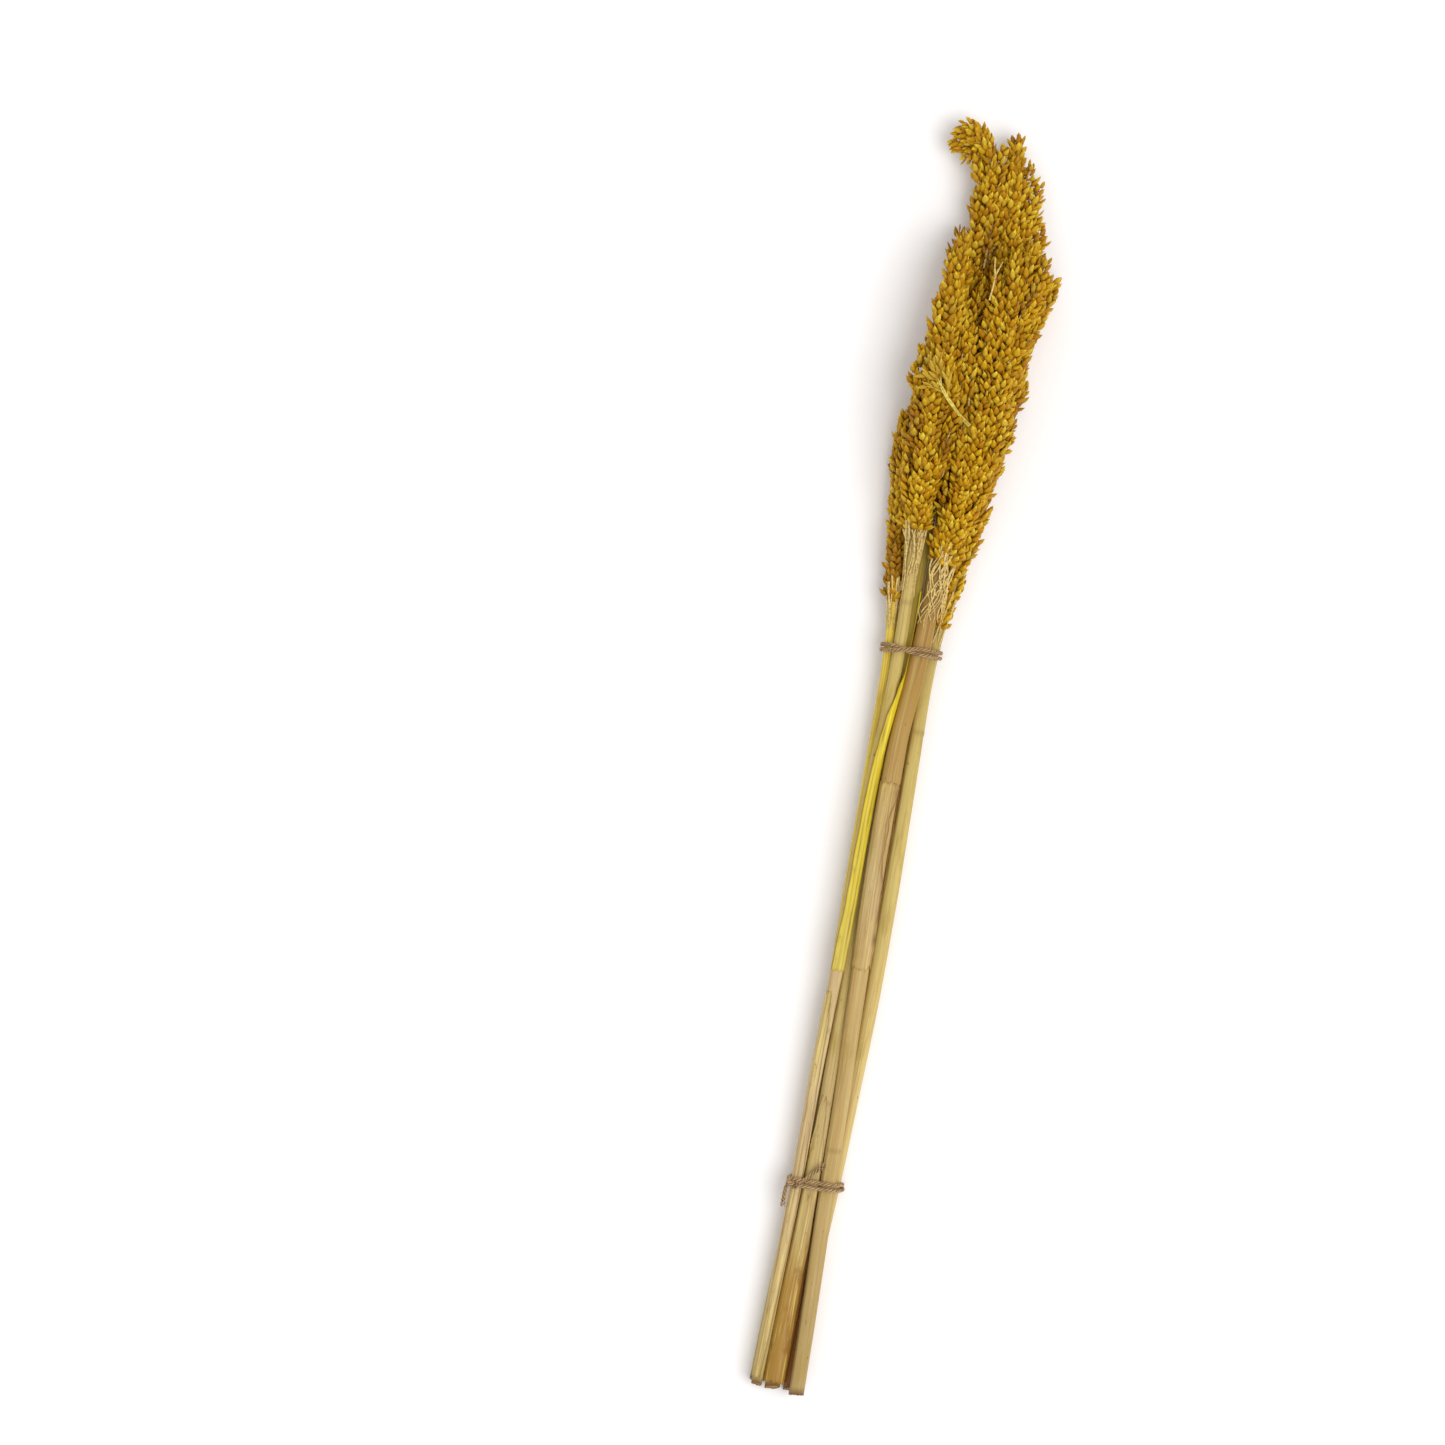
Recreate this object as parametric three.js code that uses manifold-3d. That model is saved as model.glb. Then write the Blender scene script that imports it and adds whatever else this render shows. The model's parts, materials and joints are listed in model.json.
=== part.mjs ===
// A tied bundle of dried sorghum, lying on a surface: six cut stalks with their seed heads, the dry leaf
// sheaths still wrapped on three of the stems, a broken twig caught on top of the heads, and two jute
// ties. Millimetres, +Z up, stems along Y with the heads towards +Y. The origin is the middle of the
// bundle's underside.
import * as THREE from "three";
import { mergeVertices } from "three/addons/utils/BufferGeometryUtils.js";
import Module from "manifold-3d";

// Driving dimensions
const CUT_TO_UPPER_TIE = 414; // along the stems, from the cut ends to the tie under the heads
const HEADS_LENGTH = 292; // along the bundle, from the upper tie to the top of the tallest head
const LOWER_TIE_UP = 115; // height of the lower tie above the cut ends
const UPPER_TIE_LIFT = 9.5; // the stems' underside above the surface at the upper tie
const STEM_THICKNESS = 1; // multiplies every stem's radius
const HEAD_THICKNESS = 1; // multiplies every head's half width and half depth
const TWINE = 2; // diameter of the jute twine
const TURNS = 2; // of twine in each tie
const KNOT = { halfLength: 4.6, halfWidth: 2.6, halfHeight: 2.3 }; // the overhand knot of a tie
const SHEATH_WALL = 0.5; // dry leaf sheath, with its ribs
const TWIG = { stalk: 0.9, spray: 2.6 }; // radii of the broken twig's stalk and of its sprays of spikelets
const CLEARANCE = 0.3; // between pieces that touch

// Fineness of the facets
const STEM_SIDES = 10;
const STEM_RINGS = 26;
const HEAD_SIDES = 16;
const HEAD_RINGS = 18;
const CORD_SIDES = 8;
const POINTS_PER_TURN = 24;
const STEPS_PER_TURN = 32;
const TAIL_STEPS = 6;
const STATION_STEP = 23; // how far apart along the stems the stems are packed side by side
const PACKED_PAST_TIE = 80; // the stems are packed this far past the upper tie, and splay freely beyond it
const FREE_FROM = 15; // what is left to splay starts this far past the last packed place

// Where each stem lies. AT: shares of the way from the cut ends to the upper tie; across and high: its
// axis there, as it would lie if nothing were in its way. radii: at the cut end, half way and at the
// tie. cut: how far its cut end is from the shortest stem's. head: the head's axis as [across, past the
// upper tie, high]; halfWidths and halfDepths: its size at even shares of that axis; lobes: how many
// ropes of branches stand out round it.
const AT = [0, 0.125, 0.27, 0.37, 0.51, 0.61, 0.73, 0.85, 1];
const STALKS = {
  front_left: {
    across: [-19, -16.9, -14.4, -13.4, -11.6, -10.4, -9.8, -8.6, -6.5],
    high: [10.5, 10.5, 10.5, 10.5, 10.5, 10.5, 10.5, 10, 9.6],
    radii: [2.9, 3.1, 3.5],
    cut: -1,
    head: [
      [-7, 40, 20.5],
      [-8.5, 68, 25],
      [-10, 98, 29],
      [-9, 138, 31],
      [-8.5, 170, 31],
      [-9.5, 195, 30.5],
      [-7.5, 228, 28],
    ],
    halfWidths: [5, 8.3, 11.3, 13, 14.8, 13, 9, 2],
    halfDepths: [5, 6, 9, 11.5, 11.5, 10.5, 8, 2],
    lobes: 7,
  },
  front_right: {
    across: [3.8, 3.4, 2.3, 1.4, -0.2, -0.3, -0.9, -0.3, 5.6],
    high: [11, 11, 11, 11, 11, 11, 11, 11, 10.8],
    radii: [3.8, 4, 4.6],
    cut: -3,
    head: [
      [6.2, 22, 21.5],
      [8, 45, 23],
      [14, 78, 26.5],
      [17.5, 110, 30],
      [22, 145, 31],
      [24.5, 185, 30.5],
      [27.5, 210, 29],
      [31.5, 228, 27],
    ],
    halfWidths: [6, 7.8, 11, 14.5, 15.5, 14.5, 14, 14.8, 13.5, 2],
    halfDepths: [6, 6.8, 8.5, 10, 12, 12, 11.5, 11, 9, 2],
    lobes: 8,
  },
  left: {
    across: [-19.6, -17.2, -13.4, -12.2, -11.7, -11.7, -11.6, -11.2, -11],
    high: [3.4, 3.4, 3.4, 3.4, 3.4, 3.4, 3.6, 4.2, 5],
    radii: [3.4, 3.3, 3.1],
    cut: -2,
    head: [
      [-12.5, 16, 14],
      [-14.5, 40, 12.5],
      [-17, 75, 11],
      [-20, 108, 10],
      [-18.5, 135, 9.5],
      [-16, 160, 9],
    ],
    halfWidths: [4.6, 5.5, 6.2, 7, 7.8, 6, 2],
    halfDepths: [4.6, 7, 9.5, 10, 10, 8, 2],
    lobes: 5,
  },
  right: {
    across: [-1.8, 1.5, 5.6, 7.6, 9.4, 10, 10.5, 10.6, 11.3],
    high: [3.4, 3.4, 3.4, 3.6, 4, 4.4, 4.8, 5, 5],
    radii: [3.3, 3.7, 3.4],
    cut: -2.5,
    head: [
      [13, 12, 14],
      [16.5, 38, 13.5],
      [20, 65, 12.5],
      [24, 95, 11],
      [28, 128, 10.5],
      [32, 160, 10],
      [36, 185, 10],
      [41, 203, 10.5],
      [45.5, 214, 11],
    ],
    halfWidths: [4.8, 5.8, 8.2, 8.5, 8.2, 8, 7.5, 5.5, 2],
    halfDepths: [4.8, 7, 9, 10.5, 10.5, 10.5, 9, 6, 2],
    lobes: 5,
  },
  middle: {
    across: [-10, -9, -6.9, -6.1, -5.5, -5.3, -5, -4, -1.5],
    high: [10.5, 10.5, 10.5, 10, 9, 7, 6, 5, 5],
    radii: [3.3, 3.2, 3.1],
    cut: -2,
    head: [
      [-1.5, 85, 12],
      [-3, 110, 11],
      [-2.5, 140, 10.5],
      [-0.5, 190, 11.5],
      [0.5, 235, 13],
      [0.8, 256, 14],
      [-0.2, 272, 14.5],
      [-4, 283, 14.5],
      [-10, 287.5, 14],
      [-18, 287, 13.5],
    ],
    halfWidths: [4.6, 7, 8.5, 9, 9, 8, 7.2, 6.8, 6.5, 3],
    halfDepths: [4.6, 8.5, 10.8, 11, 10, 8.5, 7.5, 7, 6, 3],
    lobes: 6,
  },
  back: {
    across: [-6, -4.5, -2, 0, 3, 4, 4.5, 4.5, 5],
    high: [3.2, 3.2, 3.2, 3.2, 3.2, 3.2, 3.2, 3.2, 3.2],
    radii: [3.2, 3.2, 3],
    cut: 0,
    head: [
      [5.5, 70, 11],
      [9.5, 95, 10],
      [12, 138, 10],
      [15.5, 188, 11.5],
      [19, 225, 12.5],
      [19, 248, 13],
      [13, 287, 12.5],
    ],
    halfWidths: [4.5, 6.5, 8.5, 10, 10.5, 9, 2],
    halfDepths: [4.5, 8.5, 10.6, 11, 10, 7, 2],
    lobes: 6,
  },
};
const HEADS_MIDDLE = 8; // the line across the bundle that the heads lie about
const HEADS_APART_FROM = 100; // how far past the upper tie the heads fill the width
const HEAD_POINTS_TO = 292; // how far past the upper tie the tallest head comes in the points above
const RACHIS_TIP = 1.1; // radius of a stem where it ends inside its head
const RACHIS_REACH = 0.62; // how far into its head a stem goes, as a share of the head's length
const LOBE_DEPTH = 0.07; // how far a head's ropes of branches stand out, as a share of its radius
const LOBE_TWIST = 2.2; // how far they wind round it from its base to its tip, in radians

// Leaf sheaths. stem: the stem each is wrapped on; from and to: where it starts and ends, as shares of the way
// from the cut ends to the upper tie; mouth: the direction of its open side, in radians from straight up towards
// the right; wrap: the half angle it covers at its foot and at its top.
const SHEATHS = {
  front_left_upper: { stem: "front_left", from: 0.565, to: 1.08, mouth: -2.2, wrap: [2.5, 0.3] },
  front_left_lower: { stem: "front_left", from: 0.012, to: 0.536, mouth: 1.35, wrap: [2.5, 2.2] },
  front_right: { stem: "front_right", from: 0.57, to: 0.824, mouth: 0.9, wrap: [2.6, 2.6] },
  middle: { stem: "middle", from: 0.007, to: 0.403, mouth: 0.5, wrap: [2.6, 0.4] },
};
const SHEATH_PACKING_RAMP = 30; // a sheath's thickness comes in over this length where the stems are packed

const wasm = await Module();
wasm.setup();

// Solids ----------------------------------------------------------------------------------------------

function solidOf(geometry) {
  const bare = geometry.clone();
  bare.deleteAttribute("normal");
  bare.deleteAttribute("uv");
  const merged = mergeVertices(bare, 1e-3);
  const vertProperties = new Float32Array(merged.attributes.position.array);
  const triVerts = new Uint32Array(merged.index.array);
  return new wasm.Manifold(new wasm.Mesh({ numProp: 3, vertProperties, triVerts }));
}

function geometryOf(solid) {
  const mesh = solid.getMesh();
  const geometry = new THREE.BufferGeometry();
  geometry.setAttribute("position", new THREE.BufferAttribute(mesh.vertProperties, 3));
  geometry.setIndex(new THREE.BufferAttribute(mesh.triVerts, 1));
  geometry.computeVertexNormals();
  return geometry;
}

// What is left of a solid beside its neighbours. Trimming can leave crumbs, so the largest body is the
// piece.
function trimmed(solid, neighbours) {
  const bodies = neighbours.reduce((rest, other) => rest.subtract(other), solid).decompose();
  return bodies.sort((a, b) => b.volume() - a.volume())[0];
}

// Values at evenly spaced places from 0 to 1, joined by a smooth curve.
function smooth(values, places = values.map((_, i) => i / (values.length - 1))) {
  const curve = new THREE.CubicInterpolant(places, values, 1);
  return (place) => curve.evaluate(THREE.MathUtils.clamp(place, places[0], places.at(-1)))[0];
}

// The cross section's directions at a share of a curve's length: ahead, to the right and upwards.
function frameAt(curve, share) {
  const ahead = curve.getTangentAt(share);
  const right = new THREE.Vector3().crossVectors(ahead, new THREE.Vector3(0, 0, 1));
  right.normalize();
  const up = new THREE.Vector3().crossVectors(right, ahead);
  return { centre: curve.getPointAt(share), right, up };
}

// Bends a geometry that stands along Y along a curve: place gives, for each of its points, the share of
// the curve's length and the distances to the right of the curve and above it.
function bend(geometry, curve, place) {
  const points = geometry.attributes.position;
  for (let i = 0; i < points.count; i += 1) {
    const { share, right, up } = place(points.getX(i), points.getY(i), points.getZ(i));
    const frame = frameAt(curve, share);
    frame.centre.addScaledVector(frame.right, right).addScaledVector(frame.up, up);
    points.setXYZ(i, frame.centre.x, frame.centre.y, frame.centre.z);
  }
  return geometry;
}

// A closed bar along part of a curve, with a half width and a half depth that change on the way.
function bar(curve, from, to, { sides, rings, halfWidth, halfDepth, lobes = 0, extra = 0 }) {
  return bend(new THREE.CylinderGeometry(1, 1, 1, sides, rings), curve, (x, y, z) => {
    const way = y + 0.5;
    const rope = 1 + (lobes ? LOBE_DEPTH * Math.cos(lobes * Math.atan2(z, x) + LOBE_TWIST * way) : 0);
    const share = from + (to - from) * way;
    return { share, right: x * (halfWidth(way) * rope + extra), up: z * (halfDepth(way) * rope + extra) };
  });
}

// Stems -----------------------------------------------------------------------------------------------

// The underside of the bundled stems above the surface, a height up from the cut ends.
const liftAt = (up) => (UPPER_TIE_LIFT * up) / CUT_TO_UPPER_TIE;

const headUp = (up) => (up * HEADS_LENGTH) / HEAD_POINTS_TO;

// A point of a head's axis. Thicker heads lie further apart and higher, as they rest on each other.
function headPoint([across, up, high]) {
  const spread = 1 + (HEAD_THICKNESS - 1) * Math.min(1, up / HEADS_APART_FROM);
  const x = HEADS_MIDDLE + (across - HEADS_MIDDLE) * spread;
  return new THREE.Vector3(x, CUT_TO_UPPER_TIE + headUp(up), high * spread);
}

const radiusAt = (name, up) => smooth(STALKS[name].radii)(up / CUT_TO_UPPER_TIE) * STEM_THICKNESS;

// How thick a stem is with its sheaths, where stems are packed side by side.
function packedRadiusAt(name, up) {
  const worn = Object.values(SHEATHS).filter((sheath) => sheath.stem === name);
  const ramps = worn.map(({ from, to }) => {
    const [foot, top] = [from * CUT_TO_UPPER_TIE, to * CUT_TO_UPPER_TIE];
    const inside = Math.min(up - foot, top - up) / SHEATH_PACKING_RAMP + 1;
    return THREE.MathUtils.clamp(inside, 0, 1);
  });
  return radiusAt(name, up) + Math.max(0, ...ramps) * (SHEATH_WALL + CLEARANCE);
}

// Where each stem would lie at a height up from the cut ends, if nothing were in its way.
function wanted(name, up) {
  const { across, high, head } = STALKS[name];
  const axis = head.map(headPoint);
  const ups = [...AT.map((at) => at * CUT_TO_UPPER_TIE), ...axis.map((point) => point.y)];
  const rising = ups.map((u, i) => i === 0 || u > Math.max(...ups.slice(0, i)));
  const kept = (values) => values.filter((_, i) => rising[i]);
  const lifted = high.map((z, i) => z + liftAt(ups[i]));
  const x = smooth(kept([...across, ...axis.map((point) => point.x)]), kept(ups))(up);
  const z = smooth(kept([...lifted, ...axis.map((point) => point.z)]), kept(ups))(up);
  return { name, x, z, radius: packedRadiusAt(name, up) };
}

// Round sections pushed apart until each pair is clear of each other, and all are clear of the surface.
function packed(up) {
  const sections = Object.keys(STALKS).map((name) => wanted(name, up));
  const floor = liftAt(Math.min(up, CUT_TO_UPPER_TIE));
  for (let pass = 0; pass < 200; pass += 1) {
    sections.forEach((a, i) => {
      sections.slice(i + 1).forEach((b) => {
        const apart = Math.hypot(b.x - a.x, b.z - a.z);
        const short = a.radius + b.radius + 1.5 * CLEARANCE - apart;
        if (short <= 0) return;
        const [dx, dz] = [((b.x - a.x) / apart) * (short / 2), ((b.z - a.z) / apart) * (short / 2)];
        a.x -= dx;
        a.z -= dz;
        b.x += dx;
        b.z += dz;
      });
      a.z = Math.max(a.z, a.radius + floor);
    });
  }
  return sections;
}

// Each stalk's axis, from its cut end to the tip of its head.
function spines() {
  const packedTo = CUT_TO_UPPER_TIE + PACKED_PAST_TIE;
  const steps = Math.round(packedTo / STATION_STEP);
  const stations = Array.from({ length: steps + 1 }, (_, i) => (packedTo * i) / steps);
  const sections = stations.map(packed);
  return Object.fromEntries(
    Object.entries(STALKS).map(([name, { head, cut }]) => {
      const low = stations.map((up, i) => {
        const { x, z } = sections[i].find((section) => section.name === name);
        return new THREE.Vector3(x, up === 0 ? cut : up, z);
      });
      const high = head.map(headPoint).filter((point) => point.y > packedTo + FREE_FROM);
      return [name, new THREE.CatmullRomCurve3([...low, ...high], false, "centripetal")];
    }),
  );
}

const SPINES = spines();

// The share of a spine's length at which it first reaches a height up from the cut ends.
function shareAt(spine, up) {
  let [low, high] = [0, 1];
  const highest = spine.getPointAt(1).y;
  if (up >= highest) return 1;
  while (high - low > 1e-5) {
    const middle = (low + high) / 2;
    if (spine.getPointAt(middle).y < up) low = middle;
    else high = middle;
  }
  return low;
}

const headStart = (name) => shareAt(SPINES[name], CUT_TO_UPPER_TIE + headUp(STALKS[name].head[0][1]));

function stem(name, extra = 0) {
  const spine = SPINES[name];
  const start = headStart(name);
  const end = start + (1 - start) * RACHIS_REACH;
  const neck = spine.getPointAt(start).y;
  const halfWidth = (way) => {
    const share = way * end;
    if (share < start) return radiusAt(name, Math.max(0, spine.getPointAt(share).y));
    const tapered = (share - start) / (end - start);
    return THREE.MathUtils.lerp(radiusAt(name, neck), RACHIS_TIP, tapered);
  };
  return solidOf(
    bar(spine, 0, end, { sides: STEM_SIDES, rings: STEM_RINGS, halfWidth, halfDepth: halfWidth, extra }),
  );
}

// Seed heads ------------------------------------------------------------------------------------------

function head(name, extra = 0) {
  const { halfWidths, halfDepths, lobes } = STALKS[name];
  const thick = (values) => (way) => smooth(values)(way) * HEAD_THICKNESS;
  return solidOf(
    bar(SPINES[name], headStart(name), 1, {
      sides: HEAD_SIDES,
      rings: HEAD_RINGS,
      halfWidth: thick(halfWidths),
      halfDepth: thick(halfDepths),
      lobes,
      extra,
    }),
  );
}

// Leaf sheaths ----------------------------------------------------------------------------------------

// A dry leaf sheath: a flat strip rolled round its stem, open along one side, and narrower towards its
// top.
function sheath({ stem: name, from, to, mouth, wrap }, extra = 0) {
  const spine = SPINES[name];
  const [start, end] = [from, to].map((share) => shareAt(spine, share * CUT_TO_UPPER_TIE));
  const strip = new THREE.BoxGeometry(2, 1, 1, 8, 10, 1);
  return solidOf(
    bend(strip, spine, (x, y, z) => {
      const way = y + 0.5;
      const share = start + (end - start) * way;
      const half = THREE.MathUtils.lerp(wrap[0], wrap[1], way ** 2) + extra / 4;
      const angle = mouth + Math.PI + x * half;
      const inside = radiusAt(name, spine.getPointAt(share).y) + CLEARANCE;
      const radius = inside + SHEATH_WALL / 2 + z * (SHEATH_WALL + 2 * extra);
      return { share, right: radius * Math.sin(angle), up: radius * Math.cos(angle) };
    }),
  );
}

// Ties ------------------------------------------------------------------------------------------------

// The point that a taut cord reaches in a direction, in radians from straight up towards the right, as
// it goes round the stems at a height: it lies on the stem that reaches furthest that way.
function tautPoint(up, direction, pitchUp = 0) {
  const way = new THREE.Vector2(Math.sin(direction), Math.cos(direction));
  const reach = Object.entries(SPINES).map(([name, spine]) => {
    const centre = spine.getPointAt(shareAt(spine, up));
    const radius = packedRadiusAt(name, up) + TWINE / 2 + CLEARANCE;
    return { centre, radius, far: centre.x * way.x + centre.z * way.y + radius };
  });
  const { centre, radius } = reach.sort((a, b) => b.far - a.far)[0];
  return new THREE.Vector3(centre.x + way.x * radius, up + pitchUp, centre.z + way.y * radius);
}

function cord(points, steps) {
  const section = new THREE.Shape();
  section.absarc(0, 0, TWINE / 2, 0, 2 * Math.PI, false);
  const path = new THREE.CatmullRomCurve3(points, false, "centripetal");
  const settings = { curveSegments: CORD_SIDES / 2, steps, extrudePath: path };
  return solidOf(new THREE.ExtrudeGeometry(section, settings));
}

// A tie: two turns of twine drawn tight round the stems, an overhand knot where they meet, and its two
// cut tails. knotAt: the direction of the knot; tails: points of each tail, from the knot's middle.
function tie(up, knotAt, tails) {
  const spacing = TWINE + CLEARANCE / 2;
  const round = Array.from({ length: TURNS * POINTS_PER_TURN + 1 }, (_, i) => {
    const turned = i / POINTS_PER_TURN;
    return tautPoint(up, knotAt - 2 * Math.PI * turned, spacing * (TURNS / 2 - turned));
  });
  const outwards = new THREE.Vector3(Math.sin(knotAt), 0, Math.cos(knotAt));
  const knot = tautPoint(up, knotAt).addScaledVector(outwards, TWINE / 3);
  const lump = new THREE.SphereGeometry(1, 12, 8)
    .scale(KNOT.halfLength, KNOT.halfWidth, KNOT.halfHeight)
    .rotateY(knotAt)
    .translate(knot.x, knot.y, knot.z);
  const ends = tails.map((tail) => {
    const points = tail.map((point) => knot.clone().add(new THREE.Vector3(...point)));
    return cord([knot, ...points], TAIL_STEPS);
  });
  return ends.reduce((all, end) => all.add(end), cord(round, TURNS * STEPS_PER_TURN).add(solidOf(lump)));
}

const TIES = {
  lower: {
    up: LOWER_TIE_UP,
    knotAt: -0.12,
    tails: [
      [
        [5, 2.2, 0],
        [9.5, 7, 0.3],
        [15, 12.5, 0.8],
      ],
      [
        [-4.2, -3, -1],
        [-4.6, -9, -2.2],
        [-4.4, -15, -3.4],
      ],
    ],
  },
  upper: {
    up: CUT_TO_UPPER_TIE,
    knotAt: Math.PI,
    tails: [
      [
        [3.6, 3, -0.4],
        [4.4, 8, -0.6],
        [4, 14, -0.4],
      ],
      [
        [-3, -3.4, -0.4],
        [-2.6, -8, -0.8],
        [-0.5, -14, -1],
      ],
    ],
  },
};

// The broken twig -------------------------------------------------------------------------------------

// A broken side branch that lies over the two front heads: a bare stalk that forks into three sprays. Its
// points are [across, past the upper tie, how far above the heads].
const TWIG_STALK = [
  [10.6, 125.5, 0.4],
  [3, 132, 4],
  [-4, 138.5, 1],
  [-8, 143.5, 0.4],
];
const TWIG_SPRAYS = [
  [
    [-12.5, 147, 0.4],
    [-18.5, 149, 0.2],
  ],
  [
    [-12, 150, 0.6],
    [-16.5, 157.5, 0.2],
  ],
  [
    [-9.5, 151, 0.4],
    [-11.5, 161, 0.2],
  ],
];

// The height of the front heads' tops at a place across the bundle and past the upper tie.
function topOfFrontHeads(across, up) {
  const tops = ["front_left", "front_right"].map((name) => {
    const start = headStart(name);
    const share = shareAt(SPINES[name], CUT_TO_UPPER_TIE + headUp(up));
    const way = (share - start) / (1 - start);
    const [halfWidth, halfDepth] = [STALKS[name].halfWidths, STALKS[name].halfDepths].map(
      (values) => smooth(values)(way) * HEAD_THICKNESS,
    );
    const centre = SPINES[name].getPointAt(share);
    const off = Math.min(1, Math.abs(across - centre.x) / halfWidth);
    return centre.z + halfDepth * Math.sqrt(1 - off ** 2);
  });
  return Math.max(...tops);
}

function twig(extra = 0) {
  const point = ([across, up, above]) => {
    const { x, y } = headPoint([across, up, 0]);
    return new THREE.Vector3(x, y, topOfFrontHeads(x, up) + TWIG.stalk + above);
  };
  const limb = (points, halfWidth) => {
    const curve = new THREE.CatmullRomCurve3(points.map(point), false, "centripetal");
    return solidOf(bar(curve, 0, 1, { sides: 8, rings: 6, halfWidth, halfDepth: halfWidth, extra }));
  };
  const fork = TWIG_STALK.at(-1);
  const sprayRadius = smooth([TWIG.stalk, TWIG.spray, TWIG.stalk]);
  const fingers = TWIG_SPRAYS.map((spray) => limb([fork, ...spray], sprayRadius));
  return fingers.reduce((all, finger) => all.add(finger), limb(TWIG_STALK, () => TWIG.stalk));
}

// The bundle ------------------------------------------------------------------------------------------

const STRAW = { color: 0xd6c07a, roughness: 0.6 };
const DYED_SHEATH = { color: 0xd8bf2e, roughness: 0.55 };
const OCHRE_SEED = { color: 0xb98a17, roughness: 0.8 };
const TWIG_GREEN = { color: 0xc9b63c, roughness: 0.75 };
const JUTE = { color: 0x93765a, roughness: 0.95 };

const bundle = new THREE.Group();

function addPiece(name, solid, { color, roughness }) {
  const material = new THREE.MeshStandardMaterial({ color, roughness, metalness: 0 });
  const piece = new THREE.Mesh(geometryOf(solid), material);
  piece.name = name;
  bundle.add(piece);
}

const names = Object.keys(STALKS);
names.forEach((name) => addPiece(`stem_${name}`, stem(name), STRAW));
const grownStems = names.map((name) => stem(name, CLEARANCE));

Object.entries(SHEATHS).forEach(([name, facts]) => {
  const others = names.filter((other) => other !== facts.stem).map((other) => stem(other, CLEARANCE));
  addPiece(`sheath_${name}`, trimmed(sheath(facts), others), DYED_SHEATH);
});
const grownSheaths = Object.values(SHEATHS).map((facts) => sheath(facts, CLEARANCE));

Object.entries(TIES).forEach(([name, { up, knotAt, tails }]) => {
  addPiece(`tie_${name}`, trimmed(tie(up, knotAt, tails), [...grownStems, ...grownSheaths]), JUTE);
});

addPiece("loose_twig", twig(), TWIG_GREEN);

// The front heads keep their shape, and each later one is pressed in round those before it. All are flat
// where they lie on the surface.
const belowSurface = solidOf(new THREE.BoxGeometry(400, 2000, 100).translate(0, 0, -50));
const grown = [...grownStems, ...grownSheaths, twig(CLEARANCE), belowSurface];
names.forEach((name) => {
  addPiece(`head_${name}`, trimmed(head(name), grown), OCHRE_SEED);
  grown.push(head(name, CLEARANCE));
});

const box = new THREE.Box3().setFromObject(bundle);
bundle.position.set(-(box.min.x + box.max.x) / 2, -(box.min.y + box.max.y) / 2, -box.min.z);

export default bundle;
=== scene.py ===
import bisect
import json
import math
import random

import bmesh
import bpy
from mathutils import Matrix, Vector, noise
from mathutils.bvhtree import BVHTree

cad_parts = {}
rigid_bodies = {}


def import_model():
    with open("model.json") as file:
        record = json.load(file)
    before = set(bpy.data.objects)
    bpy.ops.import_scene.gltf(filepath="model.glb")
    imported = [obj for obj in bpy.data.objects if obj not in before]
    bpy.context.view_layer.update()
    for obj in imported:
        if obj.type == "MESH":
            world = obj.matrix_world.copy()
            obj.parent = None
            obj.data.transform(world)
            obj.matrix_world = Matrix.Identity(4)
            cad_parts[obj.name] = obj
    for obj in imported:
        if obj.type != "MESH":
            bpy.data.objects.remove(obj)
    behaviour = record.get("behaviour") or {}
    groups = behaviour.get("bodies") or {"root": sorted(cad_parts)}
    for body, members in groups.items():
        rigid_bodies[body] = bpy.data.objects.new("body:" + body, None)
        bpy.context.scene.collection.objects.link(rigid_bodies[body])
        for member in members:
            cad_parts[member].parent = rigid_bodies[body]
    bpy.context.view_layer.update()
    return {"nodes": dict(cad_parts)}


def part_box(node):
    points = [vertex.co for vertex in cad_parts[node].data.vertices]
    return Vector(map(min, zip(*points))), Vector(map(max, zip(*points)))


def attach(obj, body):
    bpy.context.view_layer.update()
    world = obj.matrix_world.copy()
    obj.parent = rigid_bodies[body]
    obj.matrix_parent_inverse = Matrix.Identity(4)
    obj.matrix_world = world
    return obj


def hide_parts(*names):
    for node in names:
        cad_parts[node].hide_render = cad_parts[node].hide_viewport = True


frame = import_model()

# The table, the light and the camera -----------------------------------------------------------------
# The bundle lies on a plain white table in even daylight. One very broad soft light stands on its right,
# so its shadow is faint and falls to the left. The camera looks straight down on it.
TABLE_SIZE = 12
DAYLIGHT = 0.78
KEY_LIGHT = {"power": 27, "size": 1.6, "place": (0.95, -0.2, 2.0)}
CAMERA = {"place": (-0.1058, 0.0080, 1.897), "turn": 9.24, "lens": 85}


def tone(red, green, blue):
    """A colour as the shaders take it, from its red, green and blue out of 255."""
    parts = [part / 255 for part in (red, green, blue)]
    return [p / 12.92 if p <= 0.04045 else ((p + 0.055) / 1.055) ** 2.4 for p in parts] + [1]


class Wire:
    """A value on its way between the nodes of a finish. Sums on it add Math nodes."""

    def __init__(self, finish, socket):
        self.finish = finish
        self.socket = socket

    def sum(self, operation, *values):
        return self.finish.node("ShaderNodeMath", {"operation": operation}, dict(enumerate(values)))

    def __add__(self, other):
        return self.sum("ADD", self, other)

    def __radd__(self, other):
        return self.sum("ADD", other, self)

    def __mul__(self, other):
        return self.sum("MULTIPLY", self, other)

    def __rmul__(self, other):
        return self.sum("MULTIPLY", other, self)


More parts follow.
